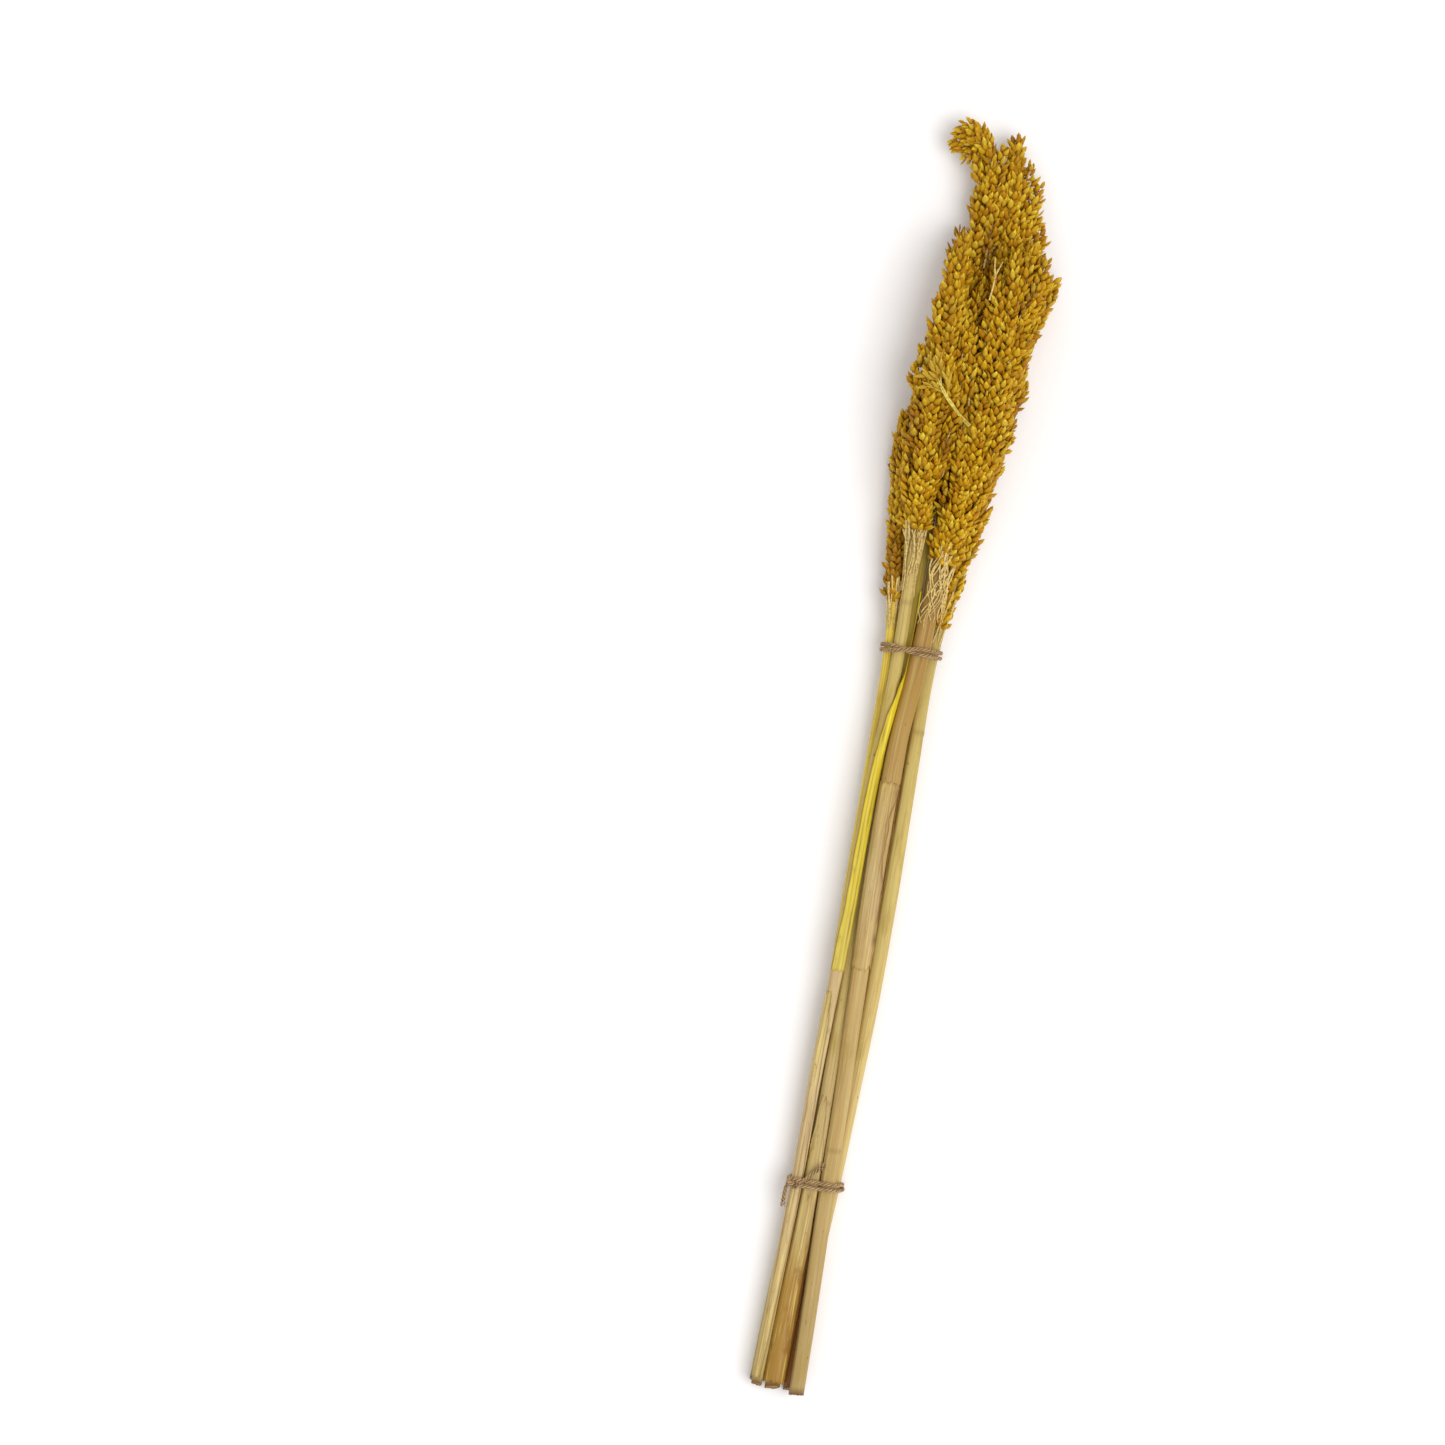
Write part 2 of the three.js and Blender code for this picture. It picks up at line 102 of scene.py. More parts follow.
class Finish:
    """A material: a shader, and the nodes that vary it over a piece."""

    def __init__(self, name, constants):
        self.material = bpy.data.materials.new(name)
        self.material.use_nodes = True
        self.tree = self.material.node_tree
        self.shader = self.tree.nodes["Principled BSDF"]
        for socket, value in constants.items():
            self.put(self.shader.inputs[socket], value)

    def put(self, socket, value):
        if isinstance(value, Wire):
            self.tree.links.new(value.socket, socket)
        else:
            socket.default_value = value

    def node(self, kind, settings=None, sockets=None, out=0):
        made = self.tree.nodes.new(kind)
        for setting, value in (settings or {}).items():
            if setting == "stops":
                ramp = made.color_ramp
                while len(ramp.elements) < len(value):
                    ramp.elements.new(1)
                for element, (place, colour) in zip(ramp.elements, value):
                    element.position = place
                    element.color = tone(*colour)
            else:
                setattr(made, setting, value)
        for place, value in (sockets or {}).items():
            self.put(made.inputs[place], value)
        return Wire(self, made.outputs[out])

    def place(self):
        """Where a point lies in the bundle, in metres."""
        return self.node("ShaderNodeTexCoord", out="Object")

    def attribute(self, name, out="Fac"):
        return self.node("ShaderNodeAttribute", {"attribute_name": name}, out=out)

    def stretched(self, vector, across, along):
        """The same place measured in steps of these lengths across and along a stem."""
        size = (1 / across, 1 / across, 1 / along)
        return self.node("ShaderNodeMapping", None, {"Vector": vector, "Scale": size})

    def cloud(self, vector, scale=1.0, detail=2.0, roughness=0.5):
        sockets = {"Vector": vector, "Scale": scale, "Detail": detail, "Roughness": roughness}
        return self.node("ShaderNodeTexNoise", None, sockets)

    def between(self, value, low, high):
        """0 where a value is low, 1 where it is high, and a smooth change from one to the other."""
        sockets = {"Value": value, "From Min": low, "From Max": high}
        return self.node("ShaderNodeMapRange", {"interpolation_type": "SMOOTHSTEP"}, sockets)

    def ramp(self, value, stops):
        """The colour at a value, from stops of a place and the colour there."""
        return self.node("ShaderNodeValToRGB", {"stops": stops}, {"Fac": value})

    def mix(self, share, first, second):
        sockets = {0: share, 6: first, 7: second}
        return self.node("ShaderNodeMix", {"data_type": "RGBA"}, sockets, out=2)

    def stained(self, body, stains):
        """A colour with stains laid over it in turn: each a value, where it starts, where it is full, how
        strong it is there, and its colour."""
        for value, start, full, strength, colour in stains:
            body = self.mix(self.between(value, start, full) * strength, body, tone(*colour))
        return body

    def colour(self, value):
        self.put(self.shader.inputs["Base Color"], value)

    def roughness(self, value):
        self.put(self.shader.inputs["Roughness"], value)

    def relief(self, height, depth):
        """Fine relief: height from 0 to 1 stands out by depth."""
        normal = self.node("ShaderNodeBump", None, {"Height": height, "Distance": depth, "Strength": 1})
        self.put(self.shader.inputs["Normal"], normal)


def piece(name, bm, *finishes):
    """Puts a finished mesh in the scene, in one finish or in several that its faces choose from."""
    mesh = bpy.data.meshes.new(name)
    bm.to_mesh(mesh)
    bm.free()
    for face in mesh.polygons:
        face.use_smooth = True
    for finish in finishes:
        mesh.materials.append(finish.material)
    made = bpy.data.objects.new(name, mesh)
    bpy.context.scene.collection.objects.link(made)
    return made


white_table = Finish("white_table", {"Roughness": 0.9})
white_table.colour(tone(251, 249, 249))
flat = bmesh.new()
bmesh.ops.create_grid(flat, x_segments=1, y_segments=1, size=TABLE_SIZE / 2)
table = piece("table", flat, white_table)

world = bpy.data.worlds.new("daylight")
world.use_nodes = True
world.node_tree.nodes["Background"].inputs["Color"].default_value = (1, 1, 1, 1)
world.node_tree.nodes["Background"].inputs["Strength"].default_value = DAYLIGHT
bpy.context.scene.world = world
bpy.context.scene.view_settings.view_transform = "Standard"

key_lamp = bpy.data.lights.new("key_light", "AREA")
key_lamp.energy = KEY_LIGHT["power"]
key_lamp.size = KEY_LIGHT["size"]
key_light = bpy.data.objects.new("key_light", key_lamp)
key_light.location = KEY_LIGHT["place"]
key_light.rotation_euler = (-key_light.location).to_track_quat("-Z", "Y").to_euler()
bpy.context.scene.collection.objects.link(key_light)

lens = bpy.data.cameras.new("camera")
lens.lens = CAMERA["lens"]
camera = bpy.data.objects.new("camera", lens)
camera.location = CAMERA["place"]
camera.rotation_euler = (0, 0, math.radians(CAMERA["turn"]))
bpy.context.scene.collection.objects.link(camera)
bpy.context.scene.camera = camera

# The six stems -----------------------------------------------------------------------------------------
# Cut sorghum stalks, dried to pale straw: a hard ribbed rind round a spongy pith, with a swollen joint
# here and there. Each runs from its rough cut end to well inside its seed head, where it thins.
MM = 0.001
STEM_SIDES = 48
STEM_STATIONS = 30
STEM_RING_STEP = 5 * MM
JOINT_RING_STEP = 0.5 * MM
JOINT_RINGS = 6
LEAST_RING_STEP = 0.1 * MM
SWELL = {"half": 1.3 * MM, "out": 0.16 * MM, "brown": 1.6 * MM}
NECK = {"half": 0.9 * MM, "in": 0.12 * MM, "below": 2.4 * MM}
SLICE_MARGIN = 0.001
CUT_REACH = 18 * MM
RAGGED = 0.5 * MM
RIND = 0.5 * MM
PITH = {"ring": 0.3 * MM, "sunk": 0.5 * MM}
SQUARENESS = 2.55
# joints: how far past the bundle's middle; slant: how the cut slopes towards its right and its upper side;
# widths: how much wider than high it has dried, at places along the bundle; tones: the colour at shares of
# the stem's length.
STEMS = {
    "stem_front_left": {
        "joints": [0.0895, -0.15],
        "slant": (-0.12, 0.4),
        "widths": [(-0.35, 1.04), (-0.24, 1.08), (-0.15, 1.14), (-0.05, 1.06), (0.1, 1.0)],
        "tones": [
            (0, (175, 153, 91)), (0.1, (184, 160, 100)), (0.25, (197, 171, 123)), (0.42, (195, 169, 119)),
            (0.6, (192, 167, 86)), (0.75, (192, 169, 97)), (1, (182, 153, 89)),
        ],
    },
    "stem_front_right": {
        "joints": [-0.215],
        "slant": (0.1, 0.16),
        "widths": [
            (-0.35, 1.14), (-0.24, 1.16), (-0.18, 1.14), (-0.12, 1.18), (-0.05, 1.24), (0.06, 1.18),
            (0.09, 1.1),
        ],
        "tones": [
            (0, (168, 144, 90)), (0.2, (178, 150, 92)), (0.45, (186, 158, 98)), (0.6, (174, 140, 76)),
            (0.72, (160, 122, 56)), (1, (158, 120, 54)),
        ],
    },
    "stem_left": {
        "joints": [0.0796, -0.14],
        "slant": (-0.5, 0.5),
        "widths": [(-0.35, 1.0), (0.1, 1.0)],
        "tones": [
            # Painted light: the stops at 0.78 and 0.93 are lighter to lift the shade that its neighbours
            # cast on its upper part.
            (0, (173, 156, 86)), (0.2, (192, 171, 108)), (0.5, (214, 188, 92)), (0.78, (226, 198, 74)),
            (0.93, (232, 204, 78)), (1, (190, 158, 70)),
        ],
    },
    "stem_right": {
        "joints": [0.02],
        "slant": (0.2, 0.4),
        "widths": [(-0.35, 1.0), (-0.2, 1.08), (-0.08, 1.22), (-0.02, 1.16), (0.06, 1.12)],
        "tones": [
            (0, (150, 98, 44)), (0.1, (170, 120, 58)), (0.17, (196, 170, 104)), (0.3, (205, 180, 113)),
            (0.55, (199, 177, 99)), (0.75, (177, 154, 82)), (1, (164, 130, 61)),
        ],
    },
    "stem_middle": {
        "joints": [-0.19],
        "slant": (0.2, 0.45),
        "widths": [(-0.35, 1.32), (-0.24, 1.32), (-0.18, 1.24), (-0.13, 1.08), (0.0, 1.0)],
        "tones": [
            (0, (149, 113, 54)), (0.12, (173, 141, 80)), (0.25, (182, 158, 104)), (0.6, (206, 184, 82)),
            (1, (214, 184, 60)),
        ],
    },
    "stem_back": {
        "joints": [-0.12],
        "slant": (-0.1, 0.5),
        "widths": [(-0.35, 1.35), (-0.25, 1.2), (-0.1, 1.0)],
        "tones": [
            (0, (176, 116, 50)), (0.15, (190, 134, 66)), (0.4, (206, 172, 106)), (1, (206, 172, 66)),
        ],
    },
}
ALONG = Vector((0, 1, 0))
UPWARDS = Vector((0, 0, 1))


def eased(low, high, value):
    """0 up to low, 1 from high on, and a smooth change between them."""
    share = min(1, max(0, (value - low) / (high - low)))
    return share * share * (3 - 2 * share)


def bump(away, half):
    """1 where away is 0, fading to 0 over about twice the half width on both sides."""
    return math.exp(-((away / half) ** 2))


def wobble(across, along, deep):
    """A random value, about -1 to 1, that changes smoothly with each of three numbers."""
    return noise.noise(Vector((across, along, deep)))


def level(stops, place):
    """The values at a place, from stops of a place and the values there."""
    for (low, *first), (high, *second) in zip(stops, stops[1:]):
        if place <= high:
            t = eased(low, high, place)
            return [a + (b - a) * t for a, b in zip(first, second)]
    return list(stops[-1][1:])


def curved(values, share):
    """The value at a share of the way along a list, on a smooth curve through its values."""
    at = min(max(share, 0), 1) * (len(values) - 1)
    i = min(int(at), len(values) - 2)
    t = at - i
    before, first, second, after = (values[min(max(i + k, 0), len(values) - 1)] for k in (-1, 0, 1, 2))
    straight = (second - before) * t
    bend = (before * 2 - first * 5 + second * 4 - after) * t * t
    back = (first * 3 - before - second * 3 + after) * t * t * t
    return first + (straight + bend + back) * 0.5


class Line:
    """A smooth line through points, with a radius at each (1 if none is given), measured in metres from its
    start."""

    def __init__(self, points, radii=None, beside=UPWARDS, steps=8):
        radii = radii or [1] * len(points)
        count = (len(points) - 1) * steps
        shares = [i / count for i in range(count + 1)]
        self.points = [curved(points, s) for s in shares]
        self.radii = [curved(radii, s) for s in shares]
        self.beside = beside
        self.lengths = [0.0]
        for one, other in zip(self.points, self.points[1:]):
            self.lengths.append(self.lengths[-1] + (other - one).length)
        self.length = self.lengths[-1]

    def at(self, distance):
        """The centre, the ways ahead, right and up, and the radius at a distance along the line."""
        distance = min(max(distance, 0), self.length)
        i = min(max(bisect.bisect_right(self.lengths, distance) - 1, 0), len(self.points) - 2)
        t = (distance - self.lengths[i]) / max(self.lengths[i + 1] - self.lengths[i], 1e-9)
        before, after = self.points[max(i - 1, 0)], self.points[min(i + 2, len(self.points) - 1)]
        first, second = self.points[i], self.points[i + 1]
        ahead = (second - before).lerp(after - first, t).normalized()
        right = ahead.cross(self.beside).normalized()
        radius = self.radii[i] + (self.radii[i + 1] - self.radii[i]) * t
        return first.lerp(second, t), ahead, right, right.cross(ahead), radius

    def past(self, y):
        """How far along the line it is past a place along the bundle."""
        i = min(max(bisect.bisect_left([p.y for p in self.points], y), 1), len(self.points) - 1)
        low, high = self.points[i - 1].y, self.points[i].y
        t = min(max((y - low) / max(high - low, 1e-9), 0), 1)
        return self.lengths[i - 1] + (self.lengths[i] - self.lengths[i - 1]) * t


def line_through(node, stations):
    """The line that a CAD node's solid follows along the bundle, from slices square to it."""
    low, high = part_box(node)
    solid = bmesh.new()
    solid.from_mesh(frame["nodes"][node].data)
    bmesh.ops.remove_doubles(solid, verts=solid.verts, dist=1e-6)
    points, radii = [], []
    for i in range(stations):
        inside = min(max(i / (stations - 1), SLICE_MARGIN), 1 - SLICE_MARGIN)
        y = low.y + (high.y - low.y) * inside
        slab = solid.copy()
        everything = slab.verts[:] + slab.edges[:] + slab.faces[:]
        cut = bmesh.ops.bisect_plane(slab, geom=everything, plane_co=(0, y, 0), plane_no=ALONG)
        edges = [e for e in cut["geom_cut"] if isinstance(e, bmesh.types.BMEdge)]
        middles = [(e.verts[0].co + e.verts[1].co) / 2 for e in edges]
        lengths = [e.calc_length() for e in edges]
        weight = sum(lengths)
        centre = sum((m * w for m, w in zip(middles, lengths)), Vector()) / weight
        points.append(centre)
        radii.append(sum((m - centre).length * w for m, w in zip(middles, lengths)) / weight)
        slab.free()
    solid.free()
    return Line(points, radii)


def squarish(angle):
    """How much further out a stalk pressed by its neighbours is, at an angle round it, than a round one."""
    return (abs(math.cos(angle)) ** SQUARENESS + abs(math.sin(angle)) ** SQUARENESS) ** (-1 / SQUARENESS)


def rod(line, sides, places, section, wider=lambda centre: 1):
    """A closed rod that follows a line, with a ring of points at each of the places along it. section gives
    how far out a point is, in metres, from the angle round it, the distance along and the line's radius.
    wider gives how much wider than high the rod is round a point of the line."""
    bm = bmesh.new()
    bmesh.ops.create_cone(bm, cap_ends=True, segments=sides, radius1=1, radius2=1, depth=1)
    lengthwise = [e for e in bm.edges if abs(e.verts[0].co.z - e.verts[1].co.z) > 0.5]
    bmesh.ops.subdivide_edges(bm, edges=lengthwise, cuts=len(places) - 2, use_grid_fill=True)
    grain = bm.verts.layers.float_vector.new("grain")
    for vert in bm.verts:
        angle = math.atan2(vert.co.y, vert.co.x)
        along = places[round((vert.co.z + 0.5) * (len(places) - 1))]
        centre, ahead, right, up, radius = line.at(along)
        out = section(angle, along, radius)
        vert[grain] = (math.cos(angle) * radius, math.sin(angle) * radius, along)
        vert.co = centre + (right * math.cos(angle) * wider(centre) + up * math.sin(angle)) * out
        vert.co.z = max(vert.co.z, 0)
    if bm.calc_volume(signed=True) < 0:
        bmesh.ops.reverse_faces(bm, faces=bm.faces)
    return bm


def straw(name, tones):
    """Dry stalk: long fibres and dry streaks in different tones, specks, browner joints and cut ends."""
    finish = Finish(name, {"Roughness": 0.55, "Specular IOR Level": 0.3})
    grain = finish.attribute("grain", out="Vector")
    streaks = finish.cloud(finish.stretched(grain, 1.5 * MM, 90 * MM), detail=3, roughness=0.65)
    fibres = finish.cloud(finish.stretched(grain, 0.55 * MM, 40 * MM), detail=3, roughness=0.65)
    patches = finish.cloud(finish.stretched(grain, 5 * MM, 34 * MM), detail=4, roughness=0.6)
    wear = finish.cloud(finish.stretched(grain, 1.6 * MM, 3.5 * MM), detail=3, roughness=0.7)
    body = finish.stained(finish.ramp(finish.attribute("share"), tones), [
        (streaks, 0.5, 0.66, 0.4, (176, 124, 58)),
        (streaks, 0.46, 0.34, 0.2, (228, 208, 146)),
        (fibres, 0.52, 0.68, 0.4, (120, 82, 36)),
        (patches, 0.5, 0.68, 0.45, (158, 130, 44)),
        (wear, 0.66, 0.74, 0.6, (96, 60, 24)),
    ])
    body = finish.mix(finish.attribute("joint") * 0.3, body, tone(120, 88, 34))
    pith = finish.ramp(wear, [(0.35, (112, 78, 40)), (0.6, (176, 142, 92))])
    body = finish.mix(finish.attribute("pith"), body, pith)
    body = finish.mix(finish.attribute("cut") * 0.85, body, tone(104, 66, 30))
    finish.colour(body)
    finish.roughness(finish.between(fibres, 0.2, 0.8) * 0.25 + 0.42)
    finish.relief(fibres * 0.5 + streaks * 0.5, 0.3 * MM)
    return finish


stem_lines = {node: line_through(node, STEM_STATIONS) for node in STEMS}
for number, (node, stem) in enumerate(STEMS.items()):
    line = stem_lines[node]
    joints = [line.past(y) for y in stem["joints"]]
    wanted = [i * STEM_RING_STEP for i in range(math.ceil(line.length / STEM_RING_STEP))] + [line.length]
    for joint in joints:
        wanted += [joint + k * JOINT_RING_STEP for k in range(-JOINT_RINGS, JOINT_RINGS + 1)]
    places = []
    for place in sorted(wanted):
        if not places or place - places[-1] > LEAST_RING_STEP:
            places.append(place)

    def stem_section(angle, along, radius, joints=joints, number=number):
        ribs = wobble(math.cos(angle) * 2.4, math.sin(angle) * 2.4, along * 5 + number * 7)
        fine = wobble(math.cos(angle) * 6, math.sin(angle) * 6, along * 9 + number * 3)
        swell = sum(bump(along - j, SWELL["half"]) for j in joints) * SWELL["out"]
        neck = sum(bump(along - j + NECK["below"], NECK["half"]) for j in joints) * NECK["in"]
        return radius * squarish(angle) * (1.0 + 0.06 * ribs + 0.045 * fine) + swell - neck

    def width(centre, stem=stem):
        return level(stem["widths"], centre.y)[0]

    bm = rod(line, STEM_SIDES, places, stem_section, width)
    grain = bm.verts.layers.float_vector["grain"]
    share, joint_tone, pith, cut = (
        bm.verts.layers.float.new(name) for name in ("share", "joint", "pith", "cut")
    )
    _, ahead, right, up, radius = line.at(0)
    for vert in bm.verts:
        across, high, along = vert[grain]
        vert[share] = along / line.length
        vert[joint_tone] = sum(bump(along - j, SWELL["brown"]) for j in joints)
        ragged = RAGGED * noise.noise(Vector((across, high, number)) * 900)
        slant = across * stem["slant"][0] + high * stem["slant"][1] + radius * math.hypot(*stem["slant"])
        vert.co += ahead * (slant + ragged) * (1 - eased(0, CUT_REACH, along))
        vert[cut] = 1 - eased(0.1 * MM, 1.2 * MM, along)
    end = min((f for f in bm.faces if len(f.verts) == STEM_SIDES), key=lambda f: f.calc_center_median().y)
    for ring, sunk in ((RIND, 0), (PITH["ring"], PITH["sunk"])):
        bmesh.ops.inset_region(bm, faces=[end], thickness=ring, depth=0)
        bmesh.ops.translate(bm, verts=end.verts, vec=ahead * sunk)
        if sunk:
            for vert in end.verts:
                vert[pith], vert[cut] = 1, 0
    middle = bmesh.ops.poke(bm, faces=[end])["verts"]
    for vert in middle:
        vert.co += ahead * PITH["sunk"]
        vert[pith], vert[cut] = 1, 0
    made = piece("stalk_" + node.removeprefix("stem_"), bm, straw("straw_" + node, stem["tones"]))
    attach(made, "root")
    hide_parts(node)

# The four leaf sheaths ---------------------------------------------------------------------------------
# Each stalk grew wrapped in the foot of its leaves. Four of these dry, papery, parallel-veined wraps are
# still on: split down one side, torn at the ends, and one still bright with dye.
SHEATH_THICKNESS = 0.32 * MM
SHEATH_GAP = 0.12 * MM
SHEATH_ACROSS = 40
SHEATH_STEP = 2.2 * MM
EDGE_WANDER = 0.12
RIPPLES = (0.22 * MM, 0.12 * MM)
STAINED, LIGHTLY_STAINED = 0.75, 0.35
# edges: where its left and right edges lie, at shares of its length, in radians from straight up towards
# the right; flare: how much it has spread sideways; lift: how far its edges stand off the stem, and how far
# it does along its length; scars: its dark scars, each at a share of its length and an angle round it, and
# how long and broad it is; torn: how deep its ends are torn; tones: its colours at shares of its length.
SHEATHS = {
    "sheath_front_left_upper": {
        "stem": "stem_front_left",
        "slot": "dyed_sheath",
        "edges": [
            (0, -0.95, 3.3), (0.2, -0.7, 3.3), (0.42, -0.6, 3.2), (0.52, -0.5, 3.0), (0.6, -0.3, 2.9),
            (0.66, -0.05, 2.6), (0.74, 0.5, 2.3), (0.8, 0.9, 2.1), (1, 1.15, 1.8),
        ],
        "lift": (1.1 * MM, [0, 0, 0, 0.1, 1.6, 2.2]),
        "flare": [(0, 1.0), (0.6, 1.0), (0.8, 1.18), (1, 1.22)],
        "scars": [
            (0.62, 0.15, 0.03, 0.14), (0.45, 0.5, 0.08, 0.08), (0.33, -0.1, 0.06, 0.07),
            (0.12, 0.4, 0.06, 0.1),
        ],
        "torn": (0.5 * MM, 7 * MM),
        "tones": [
            # Painted light: the upper stops are lighter to lift the shade in the groove between the stems
            # there.
            (0, (200, 180, 78)), (0.2, (206, 184, 54)), (0.5, (208, 184, 26)), (0.62, (222, 198, 26)),
            (0.75, (226, 204, 36)), (1, (240, 218, 40)),
        ],
    },
    "sheath_front_left_lower": {
        "stem": "stem_front_left",
        "slot": "dry_sheath",
        "edges": [(0, -4.2, 0.35), (0.35, -4.2, 0.75), (0.7, -4.1, 0.6), (0.9, -4.0, 0.3), (1, -3.9, -0.1)],
        "lift": (0.35 * MM, [0.3, 0, 0, 0, 0, 0]),
        "flare": [(0, 1.0), (1, 1.0)],
        "torn": (2 * MM, 9 * MM),
        "tones": [
            (0, (182, 158, 97)), (0.3, (193, 167, 112)), (0.7, (199, 173, 126)), (1, (197, 173, 102)),
        ],
    },
    "sheath_front_right": {
        "stem": "stem_front_right",
        "slot": "dry_sheath",
        "edges": [
            (0, -4.4, 1.25), (0.19, -4.4, 1.25), (0.36, -4.4, 0.98), (0.6, -4.5, 0.5), (0.78, -4.5, 0.46),
            (0.92, -4.4, 0.75), (1, -4.2, 0.9),
        ],
        "lift": (1.3 * MM, [0, 0, 0, 0, 0, 0.1]),
        "flare": [(0, 1.0), (1, 1.0)],
        "scars": [(0.17, 1.0, 0.03, 0.3), (0.3, 0.95, 0.05, 0.16), (0.93, -0.35, 0.07, 0.05)],
        "torn": (5 * MM, 4 * MM),
        "tones": [(0, (190, 160, 100)), (0.5, (192, 166, 113)), (1, (184, 153, 91))],
    },
    "sheath_middle": {
        "stem": "stem_middle",
        "slot": "stained_sheath",
        "edges": [(0, -2.9, 1.7), (0.4, -2.6, 1.3), (0.7, -1.7, 0.8), (0.9, -0.9, 0.3), (1, -0.5, -0.1)],
        "lift": (0.5 * MM, [0.5, 0.3, 0.2, 0, 0, 0]),
        "flare": [(0, 1.1), (0.5, 1.03), (1, 1.0)],
        "torn": (2.5 * MM, 8 * MM),
        "tones": [
            (0, (154, 115, 41)), (0.22, (164, 126, 52)), (0.36, (169, 132, 60)), (0.5, (184, 158, 97)),
            (1, (190, 166, 108)),
        ],
    },
}


def papery(name, tones, stain):
    """Dry leaf sheath: close parallel veins, faint sheen, stains that spread along the veins, brown edges
    and dark scars."""
    finish = Finish(name, {"Roughness": 0.45, "Specular IOR Level": 0.3})
    grain = finish.attribute("grain", out="Vector")
    veins = finish.cloud(finish.stretched(grain, 0.5 * MM, 160 * MM), detail=1)
    streaks = finish.cloud(finish.stretched(grain, 1.3 * MM, 50 * MM), detail=3, roughness=0.65)
    stains = finish.cloud(finish.stretched(grain, 3.4 * MM, 16 * MM), detail=4, roughness=0.65)
    specks = finish.cloud(finish.stretched(grain, 1.2 * MM, 2.4 * MM), detail=2, roughness=0.7)
    body = finish.stained(finish.ramp(finish.attribute("share"), tones), [
        (veins, 0.5, 0.64, 0.4, (132, 92, 24)),
        (streaks, 0.46, 0.34, 0.4, (232, 212, 120)),
        (streaks, 0.52, 0.66, 0.45, (140, 100, 22)),
        (stains, 0.54, 0.7, stain, (132, 88, 20)),
        (specks, 0.68, 0.74, 0.5, (96, 58, 20)),
    ])
    body = finish.mix(finish.attribute("edge") * 0.8, body, tone(120, 76, 28))
    body = finish.mix(finish.attribute("scar") * 0.7, body, tone(92, 54, 18))
    finish.colour(body)
    finish.roughness(finish.between(streaks, 0.2, 0.8) * 0.2 + 0.36)
    finish.relief(veins * 0.5 + streaks * 0.5, 0.3 * MM)
    return finish


for number, (node, sheath) in enumerate(SHEATHS.items()):
    line = stem_lines[sheath["stem"]]
    low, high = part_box(node)
    start, finish_at = line.past(low.y), line.past(high.y)
    length = finish_at - start
    bm = bmesh.new()
    rings = round(length / SHEATH_STEP)
    bmesh.ops.create_grid(bm, x_segments=SHEATH_ACROSS, y_segments=rings, size=0.5)
    grain = bm.verts.layers.float_vector.new("grain")
    share_layer, edge_layer, scar_layer = (
        bm.verts.layers.float.new(name) for name in ("share", "edge", "scar")
    )
    for vert in bm.verts:
        side, share = vert.co.x + 0.5, vert.co.y + 0.5
        edges = level(sheath["edges"], share)
        left, right_edge = (
            edge + EDGE_WANDER * wobble(share * 14, number * 5, deep) for edge, deep in zip(edges, (0, 9))
        )
        angle = left + (right_edge - left) * side
        torn = wobble(angle * 1.7, number * 3, 2) + 0.5 * wobble(angle * 6, 4, number)
        foot_torn, top_torn = sheath["torn"]
        shift = abs(torn) * (foot_torn * (1 - eased(0, 0.12, share)) - top_torn * eased(0.88, 1, share))
        along = start + length * share + shift
        centre, ahead, right, up, radius = line.at(along)
        rim = abs(2 * side - 1)
        edge_lift, end_lift = sheath["lift"]
        lift = edge_lift * eased(0.72, 1, rim) * (0.55 + 0.45 * wobble(share * 9, rim, number))
        lift += curved(end_lift, share) * MM
        ripple = RIPPLES[0] * wobble(angle * radius / (1.3 * MM), share * 2.5, number)
        ripple += RIPPLES[1] * wobble(angle * 2.5, share * 30, number)
        out = radius * squarish(angle) + SHEATH_GAP + SHEATH_THICKNESS / 2 + max(lift, 0) + ripple
        vert[grain] = (angle * radius, number * 0.01, along)
        vert[share_layer] = share
        vert[edge_layer] = eased(0.9, 1, rim)
        vert[scar_layer] = min(1, sum(
            math.exp(-(((share - at) / long) ** 2) - ((angle - round_at) / broad) ** 2)
            for at, round_at, long, broad in sheath.get("scars", [])
        ))
        wide = level(STEMS[sheath["stem"]]["widths"], centre.y)[0] * level(sheath["flare"], share)[0]
        vert.co = centre + (right * math.sin(angle) * wide + up * math.cos(angle)) * out
        vert.co.z = max(vert.co.z, SHEATH_THICKNESS)
    bmesh.ops.recalc_face_normals(bm, faces=bm.faces)
    bmesh.ops.solidify(bm, geom=bm.faces[:] + bm.edges[:] + bm.verts[:], thickness=SHEATH_THICKNESS)
    stain = STAINED if sheath["slot"] == "stained_sheath" else LIGHTLY_STAINED
    finish = papery("papery_" + node, sheath["tones"], stain)
    made = piece(node.replace("sheath", "leaf_sheath"), bm, finish)
    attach(made, "root")
    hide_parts(node)

# The six seed heads --------------------------------------------------------------------------------------
# Each head is a dense spray of short branches round the end of its stalk, and each branch is a plump rope
# of pointed spikelets that overlap up and outwards. They are dyed yellow and brown in patches where the dye
# took less well. The deeper inside the head they sit, the darker brown they are painted: painted shade.
GOLDEN_TURN = math.pi * (3 - math.sqrt(5))
SPIKELET = {"length": 6.2 * MM, "width": 4.0 * MM, "thickness": 2.6 * MM}
SPIKELET_SPACING = 0.9 * MM
SPLAY = (20, 46)
ROPE_ROWS = 5
ROPE_RADIUS = 3.3 * MM
ROPE_POINTS = 8
LEAST_ROPE = 12 * MM
# bare: the share of a branch without spikelets at its foot; the rest multiply its spikelets' measures.
PRESSED = {"bare": 0.2, "spacing": 1, "width": 1, "length": 1}
LOOSE = {"bare": 0.1, "spacing": 1.25, "width": 0.84, "length": 1.12}
